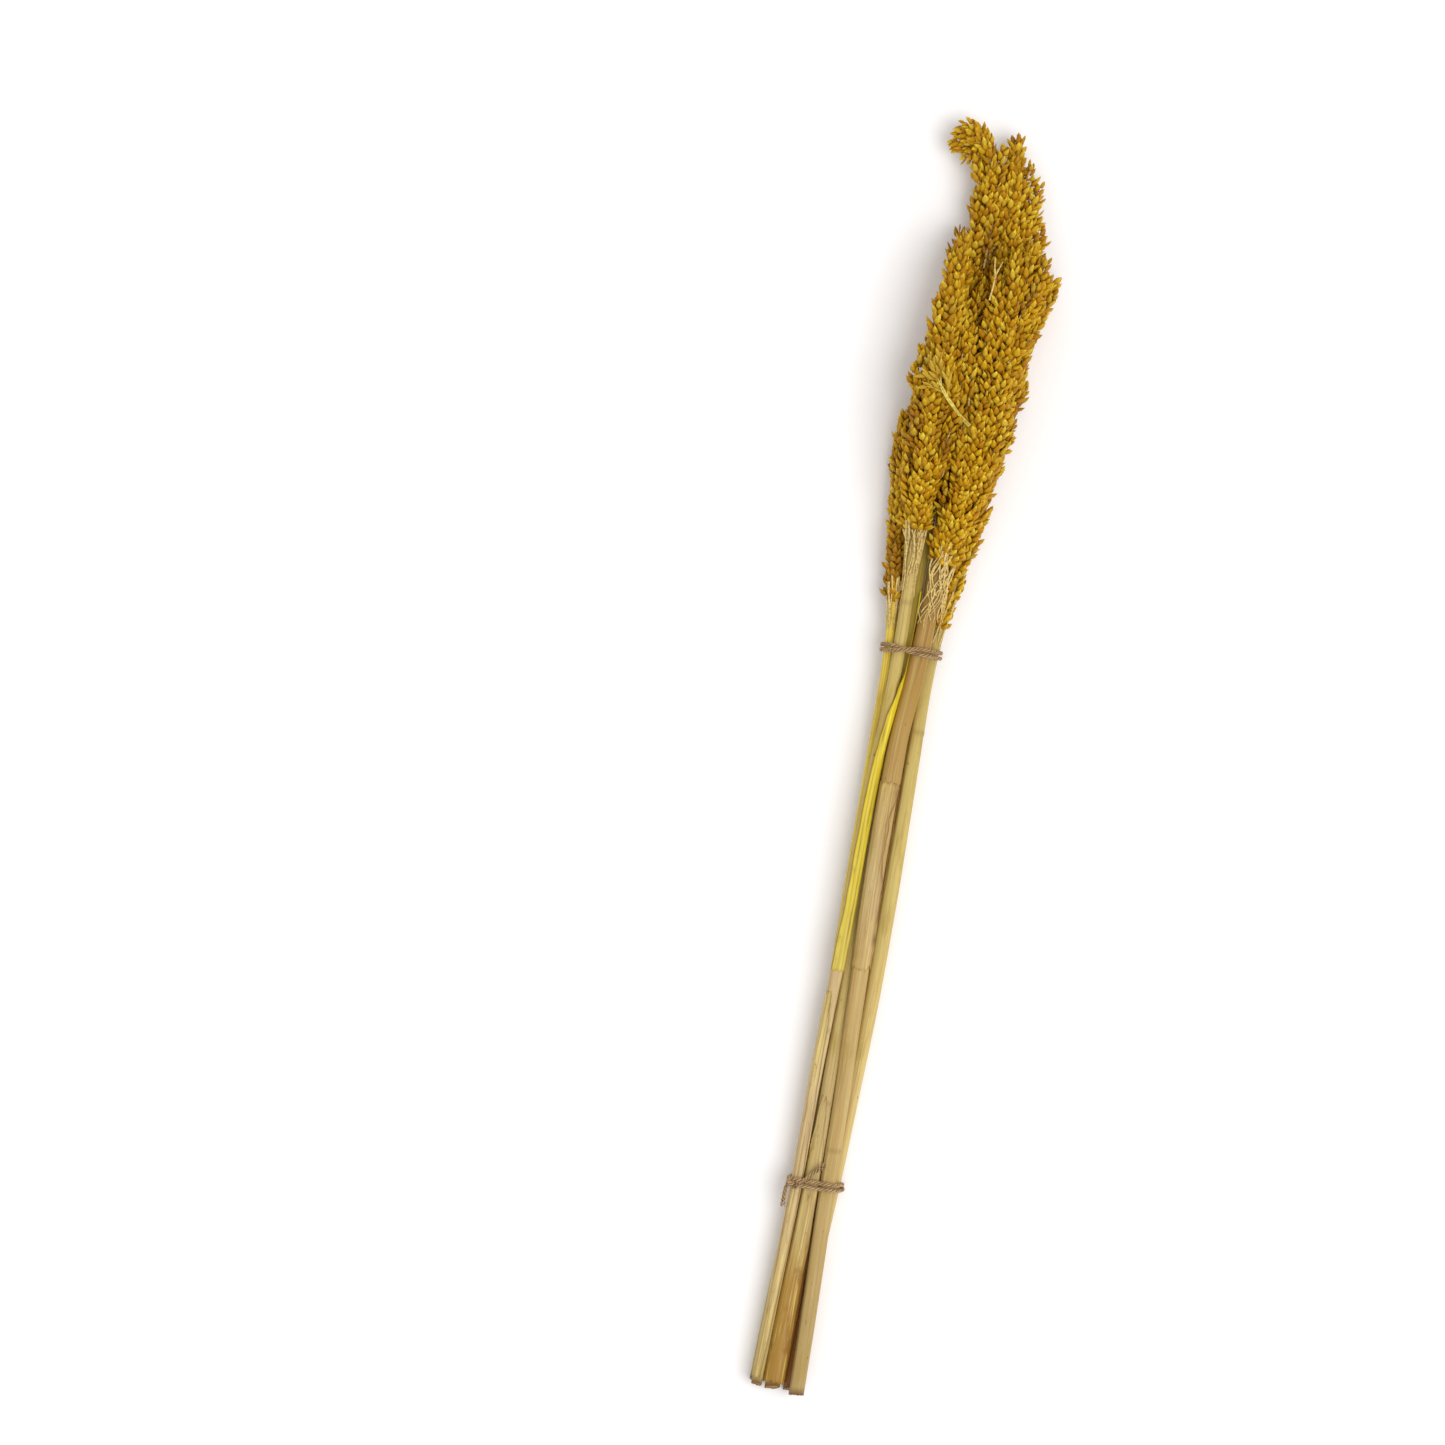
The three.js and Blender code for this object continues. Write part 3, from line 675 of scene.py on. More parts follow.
# past: how far a rope's tip is past its even place; scatter and stand: how far, in millimetres, it may be
# moved along and out; full: how thick a head is where its ropes are full length.
TIP = {"past": 1.06, "scatter": (-4, 4), "stand": (-3.2, 1.3), "full": 9 * MM}
LUMPS = {"size": 11 * MM, "reach": 8 * MM, "height": 0.34}
# How deep below a head's skin a spikelet starts to get painted shade, and over how much more depth that
# painted shade becomes full.
DEPTH_SHADE = {"from": 4 * MM, "over": 5 * MM}
STRAND_POINTS = 15
HEAD_STATIONS = 40
REACHES = 6
LEAST_HEIGHT = 0.3 * MM
FAR_OUT = 22 * MM
LEAST_REACH = 3 * MM
# axis: points that the head lies along; ropes: how many; first and last: where along the axis the lowest
# rope may start and the highest may end; rope: how long a full one is; strands: the bare fibrous branches
# pressed to the stalk below, how far round and along it they lie, how far they stand off it and how much
# they curl; bare: forked stalks that show on top; wisps: loose ropes listed one by one; dye: how well the
# dye took, 0 to 1. Points, and the places and lifts of strands, are in millimetres.
HEADS = {
    "head_front_left": {
        "slot": "seed",
        "axis": [
            (-16.8, 103.6, 20.5), (-18.3, 131.6, 25), (-19.8, 161.6, 29), (-18.8, 201.6, 31),
            (-18.3, 233.6, 31), (-19.3, 258.6, 30.5), (-17.3, 291.6, 28),
        ],
        "ropes": 108,
        "rope": 36 * MM,
        "first": 24 * MM,
        "strands": {
            "count": 26, "round": 1.5, "from": (92, 126), "to": (122, 142), "lift": (0.4, 3.2), "curl": 1.2,
        },
        "wisps": [
            [(-8, 202, 36), (-6, 221, 34), (-6, 240, 32)],
            [(-9, 224, 35), (-8, 237, 33), (-10, 248, 31)],
            [(-10, 178, 36), (-6.5, 197, 35), (-5.5, 214, 33)],
            [(-9, 160, 33), (-7, 176, 32), (-7, 192, 30)],
            [(-20, 250, 36), (-23, 268, 36), (-23.5, 280, 32)],
            [(-18, 258, 36), (-18, 278, 35), (-17, 292, 30)],
        ],
        "dye": 0.55,
    },
    "head_front_right": {
        "slot": "seed",
        "axis": [
            (-3.6, 85.6, 21.5), (-1.8, 108.6, 23), (4.2, 141.6, 26.5), (7.7, 173.6, 30), (12.2, 208.6, 31),
            (14.7, 248.6, 30.5), (17.7, 273.6, 29), (21.7, 291.6, 27),
        ],
        "ropes": 126,
        "bare": [
            [(0.6, 258), (1.4, 265), (2.0, 272), (4.6, 280)],
            [(2.0, 271), (0.8, 276), (0.2, 282)],
        ],
        "rope": 36 * MM,
        "first": 26 * MM,
        "strands": {
            "count": 16, "round": 1.2, "from": (76, 100), "to": (112, 130), "lift": (1.8, 4.0), "curl": 2.8,
        },
        "wisps": [
            [(-1, 200, 37), (-3, 222, 35), (-4, 241, 32)],
            [(3, 226, 37), (2, 244, 35), (3, 260, 31)],
            [(-1, 178, 36), (-4, 197, 34), (-5, 216, 31)],
            [(17, 244, 37), (26, 262, 36), (30.5, 276, 31)],
            [(18, 250, 37), (25, 270, 36), (28.5, 285, 30)],
            [(15, 252, 38), (19, 272, 36), (21.5, 290, 30)],
            [(12, 250, 38), (12, 270, 37), (11, 285, 31)],
            [(16, 226, 40), (27, 244, 36), (31.5, 258, 30)],
            [(10, 240, 39), (5, 258, 37), (3, 272, 32)],
        ],
        "dye": 0.62,
    },
    "head_left": {
        "slot": "brown_seed",
        "axis": [
            (-22.3, 79.6, 14), (-24.3, 103.6, 12.5), (-26.8, 138.6, 11), (-29.8, 171.6, 10),
            (-28.3, 198.6, 9.5), (-25.8, 223.6, 9),
        ],
        "ropes": 62,
        "first": 6 * MM,
        "strands": {
            "count": 10, "round": 1.4, "from": (72, 84), "to": (92, 104), "lift": (0.5, 3.0), "curl": 0.8,
        },
        "last": 112 * MM,
        "rope": 28 * MM,
        "wisps": [],
        "dye": 0.2,
    },
    "head_right": {
        "slot": "seed",
        "axis": [
            (3.2, 75.6, 14), (6.7, 101.6, 13.5), (10.2, 128.6, 12.5), (14.2, 158.6, 11),
            (18.2, 191.6, 10.5), (22.2, 223.6, 10), (26.2, 248.6, 10), (31.2, 266.6, 10.5),
            (35.7, 277.6, 11),
        ],
        "ropes": 96,
        "first": 0,
        "strands": {
            "count": 10, "round": 1.4, "from": (68, 80), "to": (88, 100), "lift": (0.5, 3.0), "curl": 0.8,
        },
        "rope": 28 * MM,
        "wisps": [
            [(26, 244, 14), (33, 262, 14), (37, 270, 13)],
        ],
        "dye": 0.45,
    },
    "head_middle": {
        "slot": "seed",
        "axis": [
            (-11.3, 148.6, 12), (-12.8, 173.6, 11), (-12.3, 203.6, 10.5), (-10.3, 253.6, 11.5),
            (-9.3, 298.6, 13), (-9, 319.6, 14), (-10, 335.6, 14.5), (-13.8, 346.6, 14.5),
            (-19.8, 351.1, 14), (-27.8, 350.6, 13.5),
        ],
        "ropes": 96,
        "first": 0,
        "rope": 26 * MM,
        "wisps": [
            [(-14, 268, 15), (-18, 284, 15), (-20.5, 298, 13)],
            [(-13, 255, 16), (-19, 272, 16), (-23, 286, 13)],
            [(-14, 346, 16), (-19, 342, 15), (-23.5, 336.5, 13)],
            [(-16, 349, 17), (-24, 352, 16), (-31, 348, 13)],
            [(-12, 340, 20), (-20, 348, 20), (-30, 350, 17)],
            [(-15, 342, 13), (-22, 344, 12), (-30, 342, 12)],
            [(-13, 348, 14), (-21, 355, 14), (-28, 355, 14)],
            [(-10, 336, 18), (-16, 345, 19), (-22, 351, 17)],
            [(-14, 322, 17), (-17, 334, 16), (-19, 343, 14)],
            [(-14, 344, 17), (-24, 347, 16), (-32, 343, 13)],
            [(-9, 318, 18), (-9, 334, 19), (-13, 350, 17)],
            [(-6, 300, 17), (-3, 318, 18), (-2.5, 334, 15)],
        ],
        "dye": 0.55,
    },
    "head_back": {
        "slot": "seed",
        "axis": [
            (-4.3, 133.6, 11), (-0.3, 158.6, 10), (2.2, 201.6, 10), (5.7, 251.6, 11.5), (9.2, 288.6, 12.5),
            (9.2, 311.6, 13), (3.2, 350.6, 12.5),
        ],
        "ropes": 102,
        "first": 0,
        "rope": 28 * MM,
        "wisps": [
            [(-5, 312, 18), (-4.5, 330, 18), (-3.5, 345, 15)],
            [(0, 290, 14), (3, 320, 15), (5, 352, 13)],
            [(2, 288, 16), (9, 315, 17), (13, 338, 14)],
            [(5, 285, 16), (14, 308, 17), (19.5, 328, 13)],
            [(9, 296, 15), (15, 311, 15), (21, 321, 13)],
            [(7, 300, 14), (11, 318, 13), (16, 331, 12)],
            [(13, 275, 14), (21, 289, 13), (26.5, 297, 12)],
            [(8, 290, 17), (15, 301, 17), (22, 307, 14)],
            [(9, 270, 17), (19, 292, 16), (25, 303, 13)],
            [(9, 278, 16), (17, 300, 15), (21, 312, 13)],
            [(-2, 285, 17), (0, 310, 18), (1, 336, 15)],
            [(-4, 278, 17), (-3, 305, 19), (-2.5, 328, 15)],
            [(12, 262, 16), (21, 280, 15), (26, 290, 13)],
            [(-1, 300, 15), (2, 325, 16), (2.5, 345, 13)],
            [(4, 296, 18), (6, 318, 18), (7.5, 334, 15)],
            [(-7, 232, 24), (-6, 248, 27), (-5, 263, 27)],
            [(-3.5, 238, 23), (-3.5, 253, 26), (-3, 268, 25)],
        ],
        "dye": 0.5,
    },
}


def spikelet(name, width, thickness, length, keel):
    """One spikelet, standing on its foot and pointing ahead, its keeled outer face upwards."""
    bm = bmesh.new()
    turn = Matrix.Rotation(math.radians(-90), 4, "X")
    bmesh.ops.create_uvsphere(bm, u_segments=6, v_segments=5, radius=1, matrix=turn)
    bmesh.ops.rotate(bm, verts=bm.verts, cent=(0, 0, 0), matrix=Matrix.Rotation(math.radians(30), 3, "Y"))
    along_layer = bm.verts.layers.float.new("along")
    shaded_rim_layer = bm.verts.layers.float.new("rim")
    for vert in bm.verts:
        along = (vert.co.y + 1) / 2
        slim = 1 - 0.66 * eased(0.5, 1, along)
        vert[along_layer] = along
        # rim marks the spikelet's sides and foot, where its finish paints shade.
        vert[shaded_rim_layer] = 1 if abs(vert.co.x) > 0.3 or along < 0.1 else 0
        ridge = keel if vert.co.z > 0 and abs(vert.co.x) < 0.1 else 0
        vert.co = Vector((
            vert.co.x * slim * width / 2,
            along * length,
            (vert.co.z * slim * 0.5 + ridge) * thickness + 0.18 * thickness * math.sin(math.pi * along),
        ))
    bmesh.ops.recalc_face_normals(bm, faces=bm.faces)
    mesh = bpy.data.meshes.new(name)
    bm.to_mesh(mesh)
    bm.free()
    return mesh


def spikelet_kinds():
    """The kinds of spikelet, in a collection that the heads are filled from."""
    kinds = bpy.data.collections.new("spikelets")
    length, width, thickness = SPIKELET["length"], SPIKELET["width"], SPIKELET["thickness"]
    shapes = [
        (width, thickness, length, 0.12),
        (width * 0.86, thickness * 0.9, length * 1.08, 0.2),
        (width * 1.12, thickness * 1.1, length * 0.92, 0.05),
        (width * 0.42, thickness * 0.5, length * 0.95, 0.1),
    ]
    for number, shape in enumerate(shapes):
        name = f"spikelet_{number}"
        kinds.objects.link(bpy.data.objects.new(name, spikelet(name, *shape)))
    return kinds


def filling(kinds):
    """The nodes that stand one of the kinds of spikelet on each point, turned and sized as it says."""
    tree = bpy.data.node_groups.new("filled", "GeometryNodeTree")
    tree.interface.new_socket("Points", in_out="INPUT", socket_type="NodeSocketGeometry")
    tree.interface.new_socket("Spikelets", in_out="OUTPUT", socket_type="NodeSocketGeometry")
    start, end = tree.nodes.new("NodeGroupInput"), tree.nodes.new("NodeGroupOutput")
    source = tree.nodes.new("GeometryNodeCollectionInfo")
    source.inputs["Collection"].default_value = kinds
    source.inputs["Separate Children"].default_value = True
    stand = tree.nodes.new("GeometryNodeInstanceOnPoints")
    stand.inputs["Pick Instance"].default_value = True
    real = tree.nodes.new("GeometryNodeRealizeInstances")
    tree.links.new(start.outputs[0], stand.inputs["Points"])
    tree.links.new(source.outputs[0], stand.inputs["Instance"])
    for name, kind, socket in (
        ("kind", "INT", "Instance Index"),
        ("turn", "QUATERNION", "Rotation"),
        ("size", "FLOAT_VECTOR", "Scale"),
    ):
        read = tree.nodes.new("GeometryNodeInputNamedAttribute")
        read.data_type = kind
        read.inputs["Name"].default_value = name
        tree.links.new(read.outputs["Attribute"], stand.inputs[socket])
    tree.links.new(stand.outputs[0], real.inputs[0])
    tree.links.new(real.outputs[0], end.inputs[0])
    return tree


def as_mesh(made):
    """The mesh that an object comes out as. The object itself goes."""
    bpy.context.scene.collection.objects.link(made)
    bpy.context.view_layer.update()
    mesh = bpy.data.meshes.new_from_object(made.evaluated_get(bpy.context.evaluated_depsgraph_get()))
    bpy.data.objects.remove(made)
    return mesh


def tapered(points, foot, tip):
    """A thin stalk: its points, and its radius at each, from its foot to its tip."""
    return points, [foot + (tip - foot) * k / len(points) for k in range(len(points))]


def threads(lines):
    """A mesh of thin round stalks, one along each list of points and radii."""
    curve = bpy.data.curves.new("threads", "CURVE")
    curve.dimensions = "3D"
    curve.bevel_depth = 1
    curve.bevel_resolution = 1
    curve.use_fill_caps = True
    for points, radii in lines:
        spline = curve.splines.new("POLY")
        spline.points.add(len(points) - 1)
        for knot, point, radius in zip(spline.points, points, radii):
            knot.co = (*point, 1)
            knot.radius = radius
    mesh = as_mesh(bpy.data.objects.new("threads", curve))
    bpy.data.curves.remove(curve)
    return mesh


def filled(spikelets, tree):
    """A mesh with a spikelet at each of the places given, each with its turn, size, kind and tones."""
    points = bpy.data.meshes.new("places")
    bm = bmesh.new()
    for s in spikelets:
        bm.verts.new(s["foot"])
    bm.to_mesh(points)
    bm.free()
    for name, kind in (
        ("kind", "INT"), ("turn", "QUATERNION"), ("size", "FLOAT_VECTOR"),
        ("tint", "FLOAT"), ("rope", "FLOAT"), ("deep", "FLOAT"),
    ):
        layer = points.attributes.new(name, kind, "POINT")
        values = [s[name] for s in spikelets]
        if kind in ("QUATERNION", "FLOAT_VECTOR"):
            values = [part for value in values for part in value]
        layer.data.foreach_set("vector" if kind == "FLOAT_VECTOR" else "value", values)
    holder = bpy.data.objects.new("places", points)
    holder.modifiers.new("filled", "NODES").node_group = tree
    return as_mesh(holder)


def turned(ahead, outwards):
    """The turn that points a spikelet ahead with its outer face outwards."""
    right = ahead.cross(outwards).normalized()
    up = right.cross(ahead)
    return Matrix((right, ahead, up)).transposed().to_quaternion()


def rope_of_spikelets(path, middles, shell, spikelets, stalks):
    """Adds a branch with its spikelets: overlapping rows that point up and outwards, none towards the
    middle of the head. middles: the middle of the head beside each point of its path. A branch with no
    shell lies loose on top."""
    rope, core = Line(path, steps=3), Line(middles, steps=3)
    stalks.append(tapered(rope.points, 0.6 * MM, 0.2 * MM))
    lie = PRESSED if shell else LOOSE
    dye = random.random()
    at, turn = rope.length * lie["bare"], random.uniform(0, math.tau)
    while at < rope.length:
        centre, ahead, right, up, _ = rope.at(at)
        t = at / rope.length
        away = (centre - core.at(core.length * t)[0]).normalized()
        turn += math.tau * 2 / ROPE_ROWS + random.uniform(-0.16, 0.2)
        side = right * math.sin(turn) + up * math.cos(turn)
        at += SPIKELET_SPACING * random.uniform(0.85, 1.15) * lie["spacing"]
        if shell and side.dot(away) < -0.35 and t > 0.25:
            continue
        splay = math.radians(random.uniform(*SPLAY)) * (1 - 0.5 * eased(0.85, 1, t))
        forward = (ahead * math.cos(splay) + side * math.sin(splay)).normalized()
        wide = random.uniform(0.86, 1.1) * (1 - 0.16 * eased(0.7, 1, t)) * lie["width"]
        # buried: how deep the spikelet sits below the head's skin, which sets how much painted shade it
        # gets.
        buried = shell.find_nearest(centre)[3] if shell else 0
        start = centre + side * 0.8 * MM
        start.z = max(start.z, SPIKELET["thickness"])
        long = SPIKELET["length"] * wide * 1.1
        forward.z = max(forward.z, (LEAST_HEIGHT + 1.4 * MM - start.z) / long)
        forward.normalize()
        spikelets.append({
            "foot": start,
            "turn": turned(forward, side + away * 0.6),
            "size": (wide, wide * random.uniform(0.92, 1.14) * lie["length"], wide),
            "kind": random.choices((0, 1, 2, 3), (6, 4, 4, 1))[0],
            "tint": random.random(),
            "rope": dye,
            "deep": min(1, max(0, (buried - DEPTH_SHADE["from"]) / DEPTH_SHADE["over"])),
        })


def seed(name, dye, fresh=None):
    """Sorghum spikelets: dyed yellow and brown in patches where the dye didn't take. Painted shade lies
    towards each foot, along the sides and deep inside the head, and a painted highlight lies towards each
    tip. fresh: a tone mixed in where they are paler than the rest."""
    finish = Finish(name, {"Roughness": 0.5, "Specular IOR Level": 0.14})
    along, rope = finish.attribute("along"), finish.attribute("rope")
    mottle = finish.cloud(finish.place(), scale=900, detail=3, roughness=0.6)
    drift = finish.cloud(finish.place(), scale=34, detail=2)
    body = finish.ramp(finish.attribute("tint"), [
        (0, (176, 120, 4)), (0.3, (204, 152, 10)), (0.62, (222, 180, 24)), (1, (236, 206, 62)),
    ])
    if fresh:
        body = finish.mix(0.6, body, tone(*fresh))
    finish.colour(finish.stained(body, [
        # Painted shade towards each spikelet's foot, and a painted highlight towards its tip.
        (along, 0.5, 0.1, 0.5, (142, 92, 2)),
        (along, 0.7, 1, 0.35, (228, 192, 70)),
        (rope, 0.6, 0, 0.3, (186, 138, 14)),
        # Painted shade along each spikelet's sides and foot.
        (finish.attribute("rim"), 0.35, 1, 0.4, (140, 90, 4)),
        (mottle, 0.52, 0.72, 0.4, (150, 100, 6)),
        (rope * 0.6 + drift * 0.8, 0.55 + 0.5 * dye, 0.9 + 0.35 * dye, 0.75, (134, 82, 16)),
        # Painted shade: spikelets deep inside the head are painted dark brown.
        (finish.attribute("deep"), 0.1, 1, 0.75, (104, 62, 2)),
    ]))
    finish.roughness(0.45 + 0.2 * mottle)
    finish.relief(mottle, 0.08 * MM)
    return finish


def stalky(name, young, old):
    """The thin bare stalks that carry the spikelets."""
    finish = Finish(name, {"Roughness": 0.55})
    streaks = finish.cloud(finish.stretched(finish.place(), 1.2 * MM, 9 * MM), detail=3)
    finish.colour(finish.mix(finish.between(streaks, 0.35, 0.7), tone(*young), tone(*old)))
    finish.relief(streaks, 0.1 * MM)
    return finish


def surface(node):
    """The skin of a CAD node's solid, to find points on."""
    solid = frame["nodes"][node].data
    return BVHTree.FromPolygons([v.co for v in solid.vertices], [tuple(p.vertices) for p in solid.polygons])


random.seed(12)
branchlet = stalky("branchlet", (206, 176, 96), (160, 116, 44))
fibre = stalky("fibre", (222, 196, 120), (178, 144, 80))
kinds = spikelet_kinds()
tree = filling(kinds)
for node, head in HEADS.items():
    shell = surface(node)
    line = Line([Vector(p) * MM for p in head["axis"]])

    def reach(distance, angle, line=line, shell=shell):
        """How far the head comes out of its axis there."""
        centre, ahead, right, up, _ = line.at(distance)
        outwards = right * math.sin(angle) + up * math.cos(angle)
        hit = shell.ray_cast(centre + outwards * FAR_OUT, -outwards, FAR_OUT)
        return FAR_OUT - hit[3] if hit[0] else LEAST_REACH

    # Ropes stand closer where the head is thick: running is the share of them below each station.
    sizes = []
    for i in range(HEAD_STATIONS):
        distance = line.length * (i + 0.5) / HEAD_STATIONS
        sizes.append(sum(reach(distance, a * math.tau / REACHES) for a in range(REACHES)) / REACHES)
    running = [sum(sizes[:i]) / sum(sizes) for i in range(HEAD_STATIONS + 1)]
    spikelets, stalks, strands = [], [], []
    for number in range(head["ropes"]):
        share = (number + 0.5) / head["ropes"]
        i = min(bisect.bisect_right(running, share) - 1, HEAD_STATIONS - 1)
        tip = line.length * (i + (share - running[i]) / (running[i + 1] - running[i])) / HEAD_STATIONS
        tip = max(tip * TIP["past"] + random.uniform(*TIP["scatter"]) * MM, head["first"] + LEAST_ROPE)
        tip = min(tip, head.get("last", line.length))
        station = min(int(tip / line.length * HEAD_STATIONS), HEAD_STATIONS - 1)
        size = min(1, sizes[station] / TIP["full"])
        length = head["rope"] * random.uniform(0.7, 1.1) * (0.55 + 0.45 * size)
        foot = max(tip - length, head["first"])
        azimuth = number * GOLDEN_TURN + random.uniform(-0.25, 0.25)
        drift, stand = random.uniform(-0.2, 0.2), random.uniform(*TIP["stand"]) * MM
        path, middles = [], []
        for k in range(ROPE_POINTS):
            t = k / (ROPE_POINTS - 1)
            at = foot + (tip - foot) * t
            angle = azimuth + drift * t
            centre, ahead, right, up, _ = line.at(at)
            outward = right * math.sin(angle) + up * math.cos(angle)
            lump = 1.0 + LUMPS["height"] * noise.noise((centre + outward * LUMPS["reach"]) / LUMPS["size"])
            rise = 0.3 + 0.7 * eased(0, 0.6, t) + 0.1 * eased(0.7, 1, t)
            out = max(reach(at, angle) * lump + stand - ROPE_RADIUS, 0.8 * MM)
            path.append(centre + outward * out * rise)
            middles.append(centre)
        rope_of_spikelets(path, middles, shell, spikelets, stalks)
    hanging = head.get("strands")
    for _ in range(hanging["count"] if hanging else 0):
        stem_line = stem_lines[node.replace("head", "stem")]
        low, high = (random.uniform(*hanging[key]) * MM for key in ("from", "to"))
        angle, phase = random.uniform(-hanging["round"], hanging["round"]), random.uniform(0, math.tau)
        lift_low, lift_high = (value * random.uniform(0.7, 1.3) for value in hanging["lift"])
        points, radii = [], []
        thick = random.uniform(0.35, 0.75) * MM
        for k in range(STRAND_POINTS):
            t = k / (STRAND_POINTS - 1)
            centre, ahead, right, up, radius = stem_line.at(stem_line.past(low + (high - low) * t))
            sway = hanging["curl"] * (1 - 0.5 * t) * math.sin(phase + t * (3 + hanging["curl"] * 2.2))
            out = radius + (lift_low + (lift_high - lift_low) * t * t) * MM
            way = right * math.sin(angle) + up * math.cos(angle)
            beside = right * math.cos(angle) - up * math.sin(angle)
            points.append(centre + way * out + beside * sway * MM)
            radii.append(thick * (0.5 + 0.6 * t))
        strands.append((points, radii))
    for bare in head.get("bare", []):
        points = []
        for x, y in bare:
            top = shell.find_nearest(Vector((x * MM, y * MM, 0.1)))[0].z
            points.append(Vector((x * MM, y * MM, top + 0.7 * MM)))
        strands.append(tapered(Line(points, steps=4).points, 0.55 * MM, 0.3 * MM))
    for wisp in head["wisps"]:
        middles = [Vector(point) * MM - UPWARDS * 5 * MM for point in wisp]
        rope_of_spikelets([Vector(point) * MM for point in wisp], middles, None, spikelets, stalks)
    bm = bmesh.new()
    bm.from_mesh(filled(spikelets, tree))
    seeded = len(bm.faces)
    bm.from_mesh(threads(stalks))
    branched = len(bm.faces)
    if strands:
        bm.from_mesh(threads(strands))
    for number, face in enumerate(bm.faces):
        face.material_index = (number >= seeded) + (number >= branched)
    for vert in bm.verts:
        vert.co.z = max(vert.co.z, 0)
    made = piece(node.replace("head", "seed_head"), bm, seed("seed_" + node, head["dye"]), branchlet, fibre)
    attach(made, "root")
    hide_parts(node)

# The broken twig -----------------------------------------------------------------------------------------
# A side branch snapped off one of the heads and caught on top of the front two: two thin greenish stalks
# grown side by side that fork into short sprays of slim spikelets. It only lies there.
TWIG_RADIUS = 0.75 * MM
TWIG_SPACING = 1.7 * MM
TWIG_SPLAY = (14, 34)
TWIN_STALKS = (-0.35, 0.35)
TWIG_STALK = [(0.8, 189.1), (-3, 192.2), (-6.8, 195.6), (-10.3, 198.6), (-13.8, 202.1), (-17.8, 207.1)]
TWIG_SPRAYS = [
    [(-17.8, 207.1), (-20, 209), (-22.3, 210.6), (-27.6, 212.4)],
    [(-17.8, 207.1), (-19.8, 210.4), (-21.8, 213.6), (-25.8, 220.6)],
    [(-17.8, 207.1), (-18.6, 210.8), (-19.3, 214.6), (-21.2, 223.4)],
    [(-13.8, 202.1), (-17.2, 204.6), (-21.4, 206.2), (-25.4, 206.6)],
    [(-13.8, 202.1), (-13.9, 205.8), (-14.4, 209.2), (-15.6, 213.6)],
]
under_twig = [surface("head_front_left"), surface("head_front_right")]


def on_top(x, y, above):
    """A point that lies this far above the front heads."""
    hits = [skin.ray_cast(Vector((x * MM, y * MM, 1)), -UPWARDS) for skin in under_twig]
    return Vector((x * MM, y * MM, max(hit[0].z for hit in hits if hit[0]) + above))


stalks, spikelets = [], []
for beside in TWIN_STALKS:
    points = Line([on_top(x + beside, y + beside * 0.9, 1.1 * MM) for x, y in TWIG_STALK], steps=4).points
    arched = [p + UPWARDS * 0.8 * MM * math.sin(math.pi * i / len(points)) for i, p in enumerate(points)]
    stalks.append(tapered(arched, TWIG_RADIUS * 0.85, TWIG_RADIUS * 0.65))
for spray in TWIG_SPRAYS:
    stalk = Line([on_top(x, y, 1.4 * MM) for x, y in spray], steps=4)
    stalks.append(tapered(stalk.points, TWIG_RADIUS * 0.65, TWIG_RADIUS * 0.25))
    at, turn = stalk.length * 0.3, random.uniform(0, 6)
    while at < stalk.length:
        centre, ahead, right, up, _ = stalk.at(at)
        turn += GOLDEN_TURN
        side = right * math.sin(turn) + up * abs(math.cos(turn))
        splay = math.radians(random.uniform(*TWIG_SPLAY))
        spikelets.append({
            "foot": centre,
            "turn": turned(ahead * math.cos(splay) + side * math.sin(splay), up),
            "size": (0.78, 1.05, 0.8),
            "kind": random.choice((1, 1, 1, 3)),
            "tint": random.uniform(0.7, 1),
            "rope": 0.0,
            "deep": 0.0,
        })
        at += TWIG_SPACING
bm = bmesh.new()
bm.from_mesh(filled(spikelets, tree))
seeded = len(bm.faces)
bm.from_mesh(threads(stalks))
bm.faces.ensure_lookup_table()
for face in bm.faces[seeded:]:
    face.material_index = 1
greenish = stalky("greenish_stalk", (226, 210, 104), (190, 164, 58))
twig = piece("broken_twig", bm, seed("seed_twig", 2.0, (214, 190, 78)), greenish)
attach(twig, "root")
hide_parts("loose_twig")
for kind in list(kinds.objects):
    bpy.data.objects.remove(kind)

# The two twine ties --------------------------------------------------------------------------------------
# Garden twine of three jute plies twisted together, wound twice round all six stems, pulled tight and
# knotted. The lower tie is knotted on top, the upper one underneath, each with two short frayed tails.
TWINE = 2.0 * MM
PLIES = 3
PLY_SIDES = 7
PLY_STEP = 0.5 * MM
PLY_RADIUS = 0.56 * MM
PLY_OUT = 0.62 * MM
TWIST = 7 * MM
TURNS = 2
LOOP_POINTS = 96
TURN_POINTS = 160
KNOT_POINTS = 48
RIBS = 0.3 * MM
SHARPNESS = SQUARENESS / (SQUARENESS - 1)
TURNS_APART = 3.1 * MM
CROSSING = 5
OVER = {"height": TWINE * 0.95, "half": 0.07}
KNOT = (4.2 * MM, 2.7 * MM, 1.7 * MM)
KNOT_OUT = TWINE * 0.33
FUZZ = 320
FUZZ_RADII = [0.06 * MM, 0.05 * MM, 0.02 * MM]
# at: its place along the bundle; knot: the direction of its knot, from straight up towards the right;
# tails: the points of each tail from the knot's middle, in millimetres.
TIES = {
    "tie_lower": {
        "at": -0.23544,
        "knot": -0.12,
        "tails": [
            [(2, 1, 0.6), (5, 2.2, 0.3), (9.5, 7, 0.4), (15, 12.5, 0.8)],
            [(-2.5, -1, 0.4), (-4.4, -3.4, -0.8), (-4.6, -9, -2.2), (-4.4, -15, -3.4)],
        ],
    },
    "tie_upper": {
        "at": 0.06356,
        "knot": math.pi,
        "tails": [
            [(2, 1, -0.2), (3.6, 3, -0.4), (4.4, 8, -0.6), (4, 14, -0.4)],
            [(-2, -1, -0.2), (-3, -3.4, -0.4), (-2.6, -8, -0.8), (-0.5, -14, -1)],
        ],
    },
}


